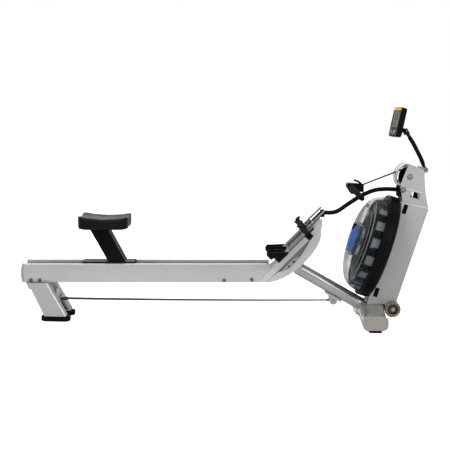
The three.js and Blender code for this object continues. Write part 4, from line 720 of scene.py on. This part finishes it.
def make_wheels():
    for place, side in sides:
        spot = machine @ shift(1873, side * 90, -138) @ spin(-side * math.pi / 2, "X")
        half = [(26.2, 11), (27.5, 11.8), (35, 11.8), (38.6, 10.4), (40.6, 7)]
        rim = turned_mesh([(r, -z) for r, z in half] + [(41, 0)] + half[::-1], 72)
        body = f"wheel_{place}"
        tyre_piece = add(f"wheel_tyre_{place}", rim, spot, tyre, "urethane", body, angle=40)
        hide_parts(f"transport_wheel_{place}")
        band = turned_mesh([(22.6, -10.5), (25.9, -10.9), (25.9, 10.9), (22.6, 10.5)], 60)
        web = turned_mesh([(10.5, -3), (23, -3), (23, 3), (10.5, 3)], 60)
        spoke = box_mesh((10.5, -1.3, -8.6), (23.2, 1.3, 8.6))
        spokes = [moved(spoke, spin(i * math.pi / 6, "Z")) for i in range(12)]
        add(f"wheel_core_{place}", merged(band, web), spot, black_plastic, body=body, bevel=0.5)
        add(f"wheel_spokes_{place}", merged(*spokes), spot, grey_key, body=body, bevel=0.4)
        hub = turned_mesh([(8.1, -11.4), (9.6, -11.6), (11.2, -10), (11.2, 10), (9.6, 11.6), (8.1, 11.4)], 40)
        add(f"wheel_hub_{place}", hub, spot, steel, "steel", body, angle=30)

# Console: coloured panels, display marks, the key, ribs and screws of the back, and the seam of the case

def plate(lo, hi, corner, x0, x1):
    """A thin panel in the console's face, with round corners, from x0 to x1."""
    return extruded(round_outline(lo, hi, corner), x0, x1, 0)


def make_console():
    face = -64.9
    top = plate((-38, 90.5), (38, 103.5), 5, -66.1, face)
    add("console_top_panel", top, console, amber_panel, "button_amber", "console", bevel=0.3)
    chin = [plate(lo, hi, corner, -65.9, face) for lo, hi, corner in (
        ((-39, -35), (-23.2, -2.5), 5), ((23.2, -35), (39, -2.5), 5), ((-6.8, -35), (6.8, -2.5), 2),
        ((-24, -10.4), (24, -2.5), 1), ((-24, -35), (24, -27.4), 1))]
    add("console_lower_panel", merged(*chin), console, navy_plastic, body="console")
    bars = [plate(lo, hi, 1.2, -66.4, -64.8) for lo, hi in (
        ((-40.5, 1), (-37.3, 89)), ((37.3, 1), (40.5, 89)), ((-40.5, -1.8), (40.5, 2.8)),
        ((-40.5, 87.2), (40.5, 90)))]
    add("console_screen_frame", merged(*bars), console, black_plastic, body="console")

    def mark(y0, z0, y1, z1):
        return box_mesh((face, y0, z0), (-64.72, y1, z1))

    marks = []
    wide, thick = 8, 1.7
    for row, (z, high) in enumerate(((66, 13), (42, 17), (17, 12))):
        for column in range(4):
            y = -25 + 14.5 * column + (3 if column > 1 else 0)
            if (row * 4 + column) % 5 == 3:
                continue
            marks += [mark(y, z, y + wide, z + thick), mark(y, z + high - thick, y + wide, z + high),
                      mark(y, z, y + thick, z + high), mark(y + wide - thick, z, y + wide, z + high)]
        marks.append(mark(-33, z - 5, 33, z - 4.4))
    add("display_marks", merged(*marks), console, display_dark, "screen_glass", "console")
    key = turned_mesh([(0.3, -1), (5.4, -1), (5.4, 0.6), (4.6, 1.2), (0.3, 1.2)], 32)
    facing = console @ shift(-65, 0, -31.5) @ spin(-math.pi / 2, "Y")
    add("console_key", key, facing, grey_key, body="console")
    ribs = [box_mesh((-34.9, -34, z), (-33.9, 34, z + 2.2)) for z in (20, 28, 36, 44, 52, 60)]
    add("console_back_ribs", merged(*ribs), console, black_plastic, body="console", bevel=0.4)
    for i, (y, z) in enumerate(((-38, 96), (38, 96), (-38, -30), (38, -30))):
        fastener(f"console_screw_{i + 1}", console, (-35, y, z), (1, 0, 0), 3.2, 1.2, "console")
    seam = plate((-46.25, -42.1), (46.25, 108.3), 12, -47.8, -46.8)
    add("console_seam", seam, console, black_dull, body="console")

# Foot straps: webbing over each board, doubled at the top, with a buckle and a loose tail

def band_mesh(points, s0, s1, thick):
    """A flat band along a path of (y, n) points, as wide as s0 to s1."""
    path = smooth_route([(0, y, n) for y, n in points], 6)
    verts = []
    for i, p in enumerate(path):
        along = heading(path, i)
        out = Vector((0, -along.z, along.y)) * thick / 2
        sag = 0.6 * math.sin(i * 0.8)
        verts += [(s0 + sag, p.y + out.y, p.z + out.z), (s1 + sag, p.y + out.y, p.z + out.z),
                  (s1 + sag, p.y - out.y, p.z - out.z), (s0 + sag, p.y - out.y, p.z - out.z)]
    return verts, solid_faces(len(path), 4)


board_centre = 118


def make_straps():
    for place, side in sides:
        centre = side * board_centre

        def strip(points, s0, s1, thick):
            return band_mesh([(centre + y, n) for y, n in points], s0, s1, thick)

        over = [(-60.8, 7.6), (-60.8, 20), (-60.2, 31), (-56.5, 42), (-46, 51.5), (-30, 56.6), (-10, 58.6),
                (10, 58.6), (30, 56.6), (46, 51.5), (56.5, 42), (60.2, 31), (60.8, 20), (60.8, 7.6)]
        band = add(f"strap_webbing_{place}", strip(over, 343, 371, 2.2), ramp, strap_web, "black_webbing",
                   bevel=0.4, angle=50)
        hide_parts(f"foot_strap_{place}")
        fold = [(-50, 50.9), (-46, 54.1), (-30, 59.1), (-12, 61.1), (2, 61.3), (12, 61.2), (24, 60.2),
                (34, 58.6), (44, 56.4), (52, 55)]
        add(f"strap_tail_{place}", strip(fold, 344.5, 369.5, 1.8), ramp, strap_web, "black_webbing",
            bevel=0.3, angle=50)
        bars = [box_mesh((s0, centre + y0, low), (s1, centre + y1, high)) for s0, s1, y0, y1, low, high in (
            (339, 375, -20, -16, 59.6, 65), (339, 375, 2, 6, 59.6, 65), (339, 343, -20, 6, 59.6, 65),
            (371, 375, -20, 6, 59.6, 65), (339, 375, -9, -5.5, 61.5, 64.6))]
        add(f"strap_buckle_{place}", merged(*bars), ramp, black_plastic, bevel=1.2)
        knob = [(0.3, 0), (5, 0), (5, 9), (11, 10.5), (14.6, 13), (15.6, 17), (14.6, 21), (11, 23.4),
                (0.3, 24)]
        spot = ramp @ shift(367, centre + 22, 46)
        add(f"strap_knob_{place}", turned_mesh(knob, 36), spot, black_plastic)
        stitches = []
        for lane in (346.5, 367.5):
            for i in range(5):
                y, lift = centre - 46 + 3.4 * i, 52.9 + 1.15 * i
                stitches.append(box_mesh((lane - 0.35, y, lift), (lane + 0.35, y + 2, lift + 2.2)))
        add(f"strap_stitching_{place}", merged(*stitches), ramp, grey_key, "black_webbing")

# Tubes and ropes as smooth forms on the routes of the CAD

def tube(name, points, radius, around, place, material, per=8, scales=None, **rest):
    part = sweep_mesh(smooth_route(points, per), ring(radius, around), scales)
    return add(name, part, place, material, angle=60, **rest)


def make_rest():
    """The bent tube that holds the handle. Its bends are shares of its length and height."""
    shares = [(0, 0), (0.082, 0), (0.145, 0.025), (0.202, 0.1), (0.339, 0.388), (0.473, 0.645), (0.574, 0.81),
              (0.708, 0.959), (0.861, 1), (1, 0.983)]
    points = [(1530 + 366 * a, 0, 347 + 121 * b) for a, b in shares]
    made = tube("handle_rest_tube", points, 11, 28, machine, black_coat, slot="black_metal")
    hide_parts("handle_rest")


def make_shock_cord():
    """The doubled cord, held apart by the rear pulley and drawn together at the ear bolt."""
    pulley, ear = 194, 1571.7
    apart, together = 18, 3.8
    height, sag = -97, 5
    for place, side in sides:
        points = []
        for i in range(13):
            t = i / 12
            points.append((pulley + (ear - pulley) * t, side * apart * (1 - t) + side * together * t,
                           height - 8 * t - sag * 4 * t * (1 - t) * 0.8))
        made = tube(f"shock_cord_{place}", points, 3.5, 14, machine, cord_cover, per=4, slot="black_cord")
        if place == "near":
            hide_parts("shock_cord")
    turned = [(pulley - apart * math.sin(a * math.pi / 10), apart * math.cos(a * math.pi / 10), height)
              for a in range(11)]
    tube("shock_cord_turn", turned, 3.5, 14, machine, cord_cover, per=4, slot="black_cord")
    wrap = [turned_mesh([(6.4, z), (7.6, z + 0.4), (7.6, z + 1.6), (6.4, z + 2)], 24)
            for z in (i * 2.3 for i in range(5))]
    flat = [moved(coil, Matrix.Diagonal((0.75, 1, 1, 1))) for coil in wrap]
    spot = machine @ shift(1544, 0, -105) @ spin(math.pi / 2, "Y")
    add("shock_cord_whipping", merged(*flat), spot, black_dull, "black_cord")


def make_pull_rope():
    start = Vector((1728.9, 0, 492.35))
    end = Vector((1939.3, 0, 574.1))
    points = [start + (end - start) * i / 24 for i in range(25)]
    verts, faces = sweep_mesh(points, ring(3.9, 14))
    rope = new_object("pull_rope_strand", [Vector(v) * mm for v in verts], faces, machine)
    rope.data.materials.append(rope_cover)
    return rope, machine @ (start * mm), machine @ (end * mm)


def make_arm_sleeve():
    """The rubber sleeve over the console's bent neck."""
    shares = [(0.11, 0.164), (0.138, 0.205), (0.19, 0.266), (0.26, 0.345), (0.402, 0.483), (0.69, 0.75),
              (0.93, 0.94)]
    points = [(2040 - 87 * a, 0, 566 + 176 * b) for a, b in shares]
    last = (len(points) - 1) * 8
    lip = [1 + 0.06 * math.exp(-(i / last / 0.02) ** 2) for i in range(last + 1)]
    tube("arm_sleeve", points, 10.6, 28, machine, black_dull, scales=lip, slot="black_metal", body="arm")


def make_hook_cover():
    """The moulded cover over the handle's yoke, thinning to a tip."""
    shares = [(0.82, 0.05), (0.8, 0.14), (0.66, 0.26), (0.47, 0.34), (0.33, 0.39), (0.3, 0.395)]
    route = [(73 * a, 0, 73 * b) for a, b in shares]
    count = (len(route) - 1) * 8 + 1
    tip = [1.0] * (count - 3) + [0.9, 0.7, 0.3]
    tube("handle_hook_cover", route, 5.4, 20, handle, black_dull, scales=tip, body="handle")

# Head: painted dark edges along the nose guard, axle bolts with washers, painted highlights along the seam
# and the fold, slot linings and the guide of the rope

head_face = 77


def make_head():
    for place, side in sides:
        out = (0, side, 0)
        # Thin black strips along both sides of the nose guard: painted shade along its rims.
        lip = []
        for i in range(28):
            x, z = polar(67.9, (99 + 112 * i / 27) * degree)
            lip.append((1956 + x, side * 69.6, 531 + z))
        add(f"guard_dark_edge_{place}", sweep_mesh(lip, ring(1.3, 10)), machine, black_dull)
        washer = turned_mesh([(5, 0), (14, 0), (14.5, 0.8), (14, 1.4), (5, 1.4)], 32)
        for bolt, key, x, z, radius, height in (("head_axle", "axle", -3.5, 679.9, 11, 6),
                                                ("rest", "rest", -15.5, 606.9, 9.5, 5)):
            at = (x, side * head_face, z)
            fastener(f"{bolt}_bolt_{place}", tower, at, out, radius, height, material=steel)
            spot = tower @ shift(*at) @ spin(-side * math.pi / 2, "X")
            add(f"{key}_washer_{place}", washer, spot, zinc, "steel")
        # Pale strips along the seam and the fold of each plate: painted highlights.
        for name, start, end, high in (("head_seam_highlight", (-6.4, 543.4), (138.5, 558), 2.6),
                                       ("head_fold_highlight", (-34, 614), (105, 625.6), 1.6)):
            start, end = Vector(start), Vector(end)
            up_by = (end - start).orthogonal().normalized() * high / 2
            seam = prism_mesh([start - up_by, end - up_by, end + up_by, start + up_by], side, 76.5, 77.7)
            add(f"{name}_{place}", seam, tower, edge_highlight_paint, "tower_grey", bevel=0.25)
        for key, low in (("upper", 494), ("lower", 47)):
            lining = prism_mesh([(15, low), (37, low), (37, low + 48), (15, low + 48)], side, 66, 75.6)
            add(f"slot_lining_{key}_{place}", lining, tower, black_dull, bevel=1)
    strands = [guide_strand(-8, 18, 640, 556), guide_strand(12, 40, 636, 560)]
    add("rope_guide", merged(*strands), tower, black_plastic, bevel=1.5)
    guide = extruded([(58, 584), (80, 584), (64, 626), (54, 626)], -20, 20, 1)
    add("rope_guide_plate", guide, tower, black_plastic, bevel=1)


def guide_strand(x0, x1, z0, z1):
    """A slanting bar of the rope guide, 9 mm wide above and shifted 14 mm below."""
    wide, slant = 9, 14
    outline = [(x0, z0), (x0 + wide, z0), (x1 + wide + slant, z1), (x1 + slant, z1)]
    return extruded(outline, -24, 24, 1)

# Rails: gaskets behind the end caps, bolts, the flange plates behind the bowed beams, and dark plates there
# that paint the shade in the beams' openings

def rail_outline(side, grow):
    """The rail seen along its length, bulging a little to the outside."""
    inner, outer, high = 65 - grow, 99 + grow, 94 + grow
    points = [(inner, -grow), (outer, -grow)]
    for i in range(9):
        t = i / 8
        points.append((outer + 3 * math.sin(math.pi * t) ** 0.8, 2 + 90 * t))
    return [(side * y, w) for y, w in points + [(outer, high), (inner, high)]]


def make_rails():
    for place, side in sides:
        def bolts(key, places, y, radius, height):
            for i, (u, w) in enumerate(places):
                fastener(f"{key}_bolt_{place}_{i + 1}", machine, (u, side * y, w), (0, side, 0), radius,
                         height, socket=0.55)

        add(f"cap_gasket_{place}", extruded(rail_outline(side, 0.35), -2.6, -0.4, 0), machine, black_dull)
        bolts("rail", ((38, 12.1), (83.1, 12.1), (1017.7, 11.8), (1157.3, 15)), 100.6, 9, 5.2)
        gasket = prism_mesh([(10, -1.4), (118, -1.4), (118, -0.2), (10, -0.2)], side, 66, 101)
        add(f"leg_gasket_{place}", gasket, machine, black_dull)
        # A dark plate fills the opening of each bowed beam: painted shade.
        web = [(1290, 34), (1330, 40), (1396, 90), (1440, 148), (1468, 206), (1462, 226), (1290, 54)]
        add(f"bow_painted_shade_{place}", prism_mesh(web, side, 79, 86), machine, web_shadow, "rail_silver")
        flange = [(1318, 38), (1352, 60), (1394, 106), (1404, 124), (1392, 132), (1372, 121), (1340, 90),
                  (1312, 62)]
        add(f"ramp_flange_{place}", prism_mesh(flange, side, 86, 89.5), machine, silver_ramp, "rail_silver",
            bevel=0.8)
        bolts("ramp", ((1348.3, 78.7), (1371.5, 102.3)), 89.4, 8, 5)
        fastener(f"ear_bolt_{place}", machine, (1577, side * 27.2, -105), (0, side, 0), 7.5, 4.5, socket=0.55)

# Legs: painted highlights along the front edges, and round-ended rubber shoes

def make_legs():
    for place, side in sides:
        level = machine @ shift(161.8, side * 91, -183.4) @ spin(rake, "Y")
        shoe = plate_mesh(73.8, 41.8, 34, -13.1, 13.1, 10)
        made = add(f"leg_shoe_{place}", shoe, level, sole_rubber, "black_rubber", bevel=6.5, segments=4)
        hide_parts(f"rear_foot_{place}")
        # A pale strip along each leg's front edge: painted highlight.
        flange = prism_mesh([(118, -1), (124, -1), (218, -168), (212, -168)], side, 120, 131.6)
        add(f"leg_edge_highlight_{place}", flange, machine, edge_highlight_paint, "leg_grey", bevel=0.6)

# Footboards: ribbed treads and dark underlays, and the small bolts of the neck, console and foot bar

def make_boards():
    for place, side in sides:
        centre, body = side * board_centre, f"footrest_{place}"
        ribs = [box_mesh((s, centre - 44, 12.6), (s + 2.6, centre + 44, 13.7)) for s in range(232, 334, 8)]
        ribs += [box_mesh((230, centre + k, 12.6), (336, centre + k + 1.8, 13.4)) for k in (-47.5, 45.7)]
        add(f"board_ribs_{place}", merged(*ribs), ramp, black_dull, "board_grey", body, bevel=0.35)
        under = extruded([(226, 4.1), (336, 4.1), (336, 6.6), (226, 6.6)], centre - 51, centre + 51, 1)
        add(f"board_underlay_{place}", under, ramp, black_dull, body=body, bevel=0.4)
        for i, (s, y) in enumerate(((244, -36), (244, 36), (322, -36), (322, 36))):
            fastener(f"board_screw_{place}_{i + 1}", ramp, (s, centre + y, 12.8), (0, 0, 1), 4, 1.6, body)


def make_small_bolts():
    for place, side in sides:
        out = (0, side, 0)
        fastener(f"clamp_bolt_{place}", tower, (69.1, side * 21.8, 737.6), out, 6.5, 4, "arm")
        fastener(f"console_pivot_{place}", console, (0, side * 18.3, 0), out, 5.6, 3.2, "console")
        fastener(f"foot_bolt_{place}", machine, (1768, side * 246, -148), (0, 0, 1), 7, 3.5)
    for i, (u, y) in enumerate(((300, 50), (300, -50), (554, 50), (554, -50))):
        fastener(f"carriage_bolt_{i + 1}", machine, (u, y, 100.8), (0, 0, 1), 4.6, 2.4, "seat")

# Tank back: moulded ribs and hoops, clear of the tower

def make_back_ribs():
    clear = 84
    parts = []
    for i in range(36):
        a = (10 * i + 5) * degree
        start = max(120, clear / abs(math.sin(a)))
        if start < 225:
            parts.append(moved(box_mesh((start, -1.6, -2.4), (240, 1.6, 0.4)), spin(a, "Z")))
    for r in (150, 196, 240):
        half = 90 - math.asin(clear / r) / degree
        for middle in (90, 270):
            parts.append(sector_mesh(r, r + 3.4, -2.4, 0.4, middle - half, middle + half, 28))
    add("tank_back_ribs", merged(*parts), tank, black_plastic, bevel=0.6)

# Floor, backdrop and light

white = (1, 1, 1, 1)


def make_floor():
    """A pale floor that shines only towards the camera, so that it reads as white paper."""
    half, drop = 14, 0.0005
    sheet = bpy.data.meshes.new("floor")
    corners = [(-half, -half, 0), (half, -half, 0), (half, half, 0), (-half, half, 0)]
    sheet.from_pydata(corners, [], [(0, 1, 2, 3)])
    floor = bpy.data.objects.new("floor", sheet)
    scene.collection.objects.link(floor)
    floor.location.z = -drop
    pale = bpy.data.materials.new("pale_floor")
    pale.use_nodes = True
    tree = pale.node_tree
    shader = fill(tree.nodes["Principled BSDF"], Base_Color=(0.9, 0.9, 0.9, 1), Roughness=0.9,
                  Specular_IOR_Level=0.1)
    glow = new_node(tree, "Emission", Color=white, Strength=0.8)
    both = new_node(tree, "AddShader")
    path = new_node(tree, "LightPath")
    mix = new_node(tree, "MixShader")
    link = tree.links.new
    link(shader.outputs[0], both.inputs[0])
    link(glow.outputs[0], both.inputs[1])
    link(path.outputs["Is Camera Ray"], mix.inputs["Fac"])
    link(shader.outputs[0], mix.inputs[1])
    link(both.outputs[0], mix.inputs[2])
    link(mix.outputs[0], tree.nodes["Material Output"].inputs["Surface"])
    sheet.materials.append(pale)


def make_world():
    """White where the camera looks, also through the tank, and half as bright where it lights."""
    world = bpy.data.worlds.new("studio")
    scene.world = world
    world.use_nodes = True
    tree = world.node_tree
    tree.nodes.clear()
    soft = new_node(tree, "Background", Color=white, Strength=0.5)
    seen = new_node(tree, "Background", Color=white, Strength=1.0)
    path = new_node(tree, "LightPath")
    either = new_node(tree, "Math", operation="MAXIMUM")
    mix = new_node(tree, "MixShader")
    link = tree.links.new
    link(path.outputs["Is Camera Ray"], either.inputs[0])
    link(path.outputs["Is Transmission Ray"], either.inputs[1])
    link(either.outputs[0], mix.inputs["Fac"])
    link(soft.outputs[0], mix.inputs[1])
    link(seen.outputs[0], mix.inputs[2])
    link(mix.outputs[0], new_node(tree, "OutputWorld").inputs["Surface"])


def lamp(name, at, aim, power, width, height):
    data = bpy.data.lights.new(name, "AREA")
    data.shape, data.size, data.size_y, data.energy = "RECTANGLE", width, height, power
    made = bpy.data.objects.new(name, data)
    scene.collection.objects.link(made)
    made.location = at
    made.rotation_euler = (Vector(aim) - Vector(at)).to_track_quat("-Z", "Y").to_euler()


for make in (make_tank, make_dial, make_seat, make_handle, make_wheels, make_console, make_straps,
             make_rest, make_shock_cord, make_arm_sleeve, make_hook_cover, make_head, make_rails,
             make_legs, make_boards, make_small_bolts, make_back_ribs, make_floor, make_world):
    make()
lamp("key", (-2.2, -3.4, 4.2), (0.1, 0, 0.4), 140, 3.0, 2.2)
lamp("fill", (3.0, -3.2, 2.2), (0.3, 0, 0.5), 60, 2.4, 2.4)
lamp("top", (0.2, 0.8, 4.6), (0.1, 0, 0.4), 55, 4.0, 2.0)
lamp("back", (-0.5, 4.0, 2.4), (0, 0, 0.5), 55, 4.0, 2.0)

# The rope stretches between the handle and the head

strand, strand_start, strand_end = make_pull_rope()
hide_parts("pull_rope")
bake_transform(strand)
scene.view_settings.view_transform = "Standard"
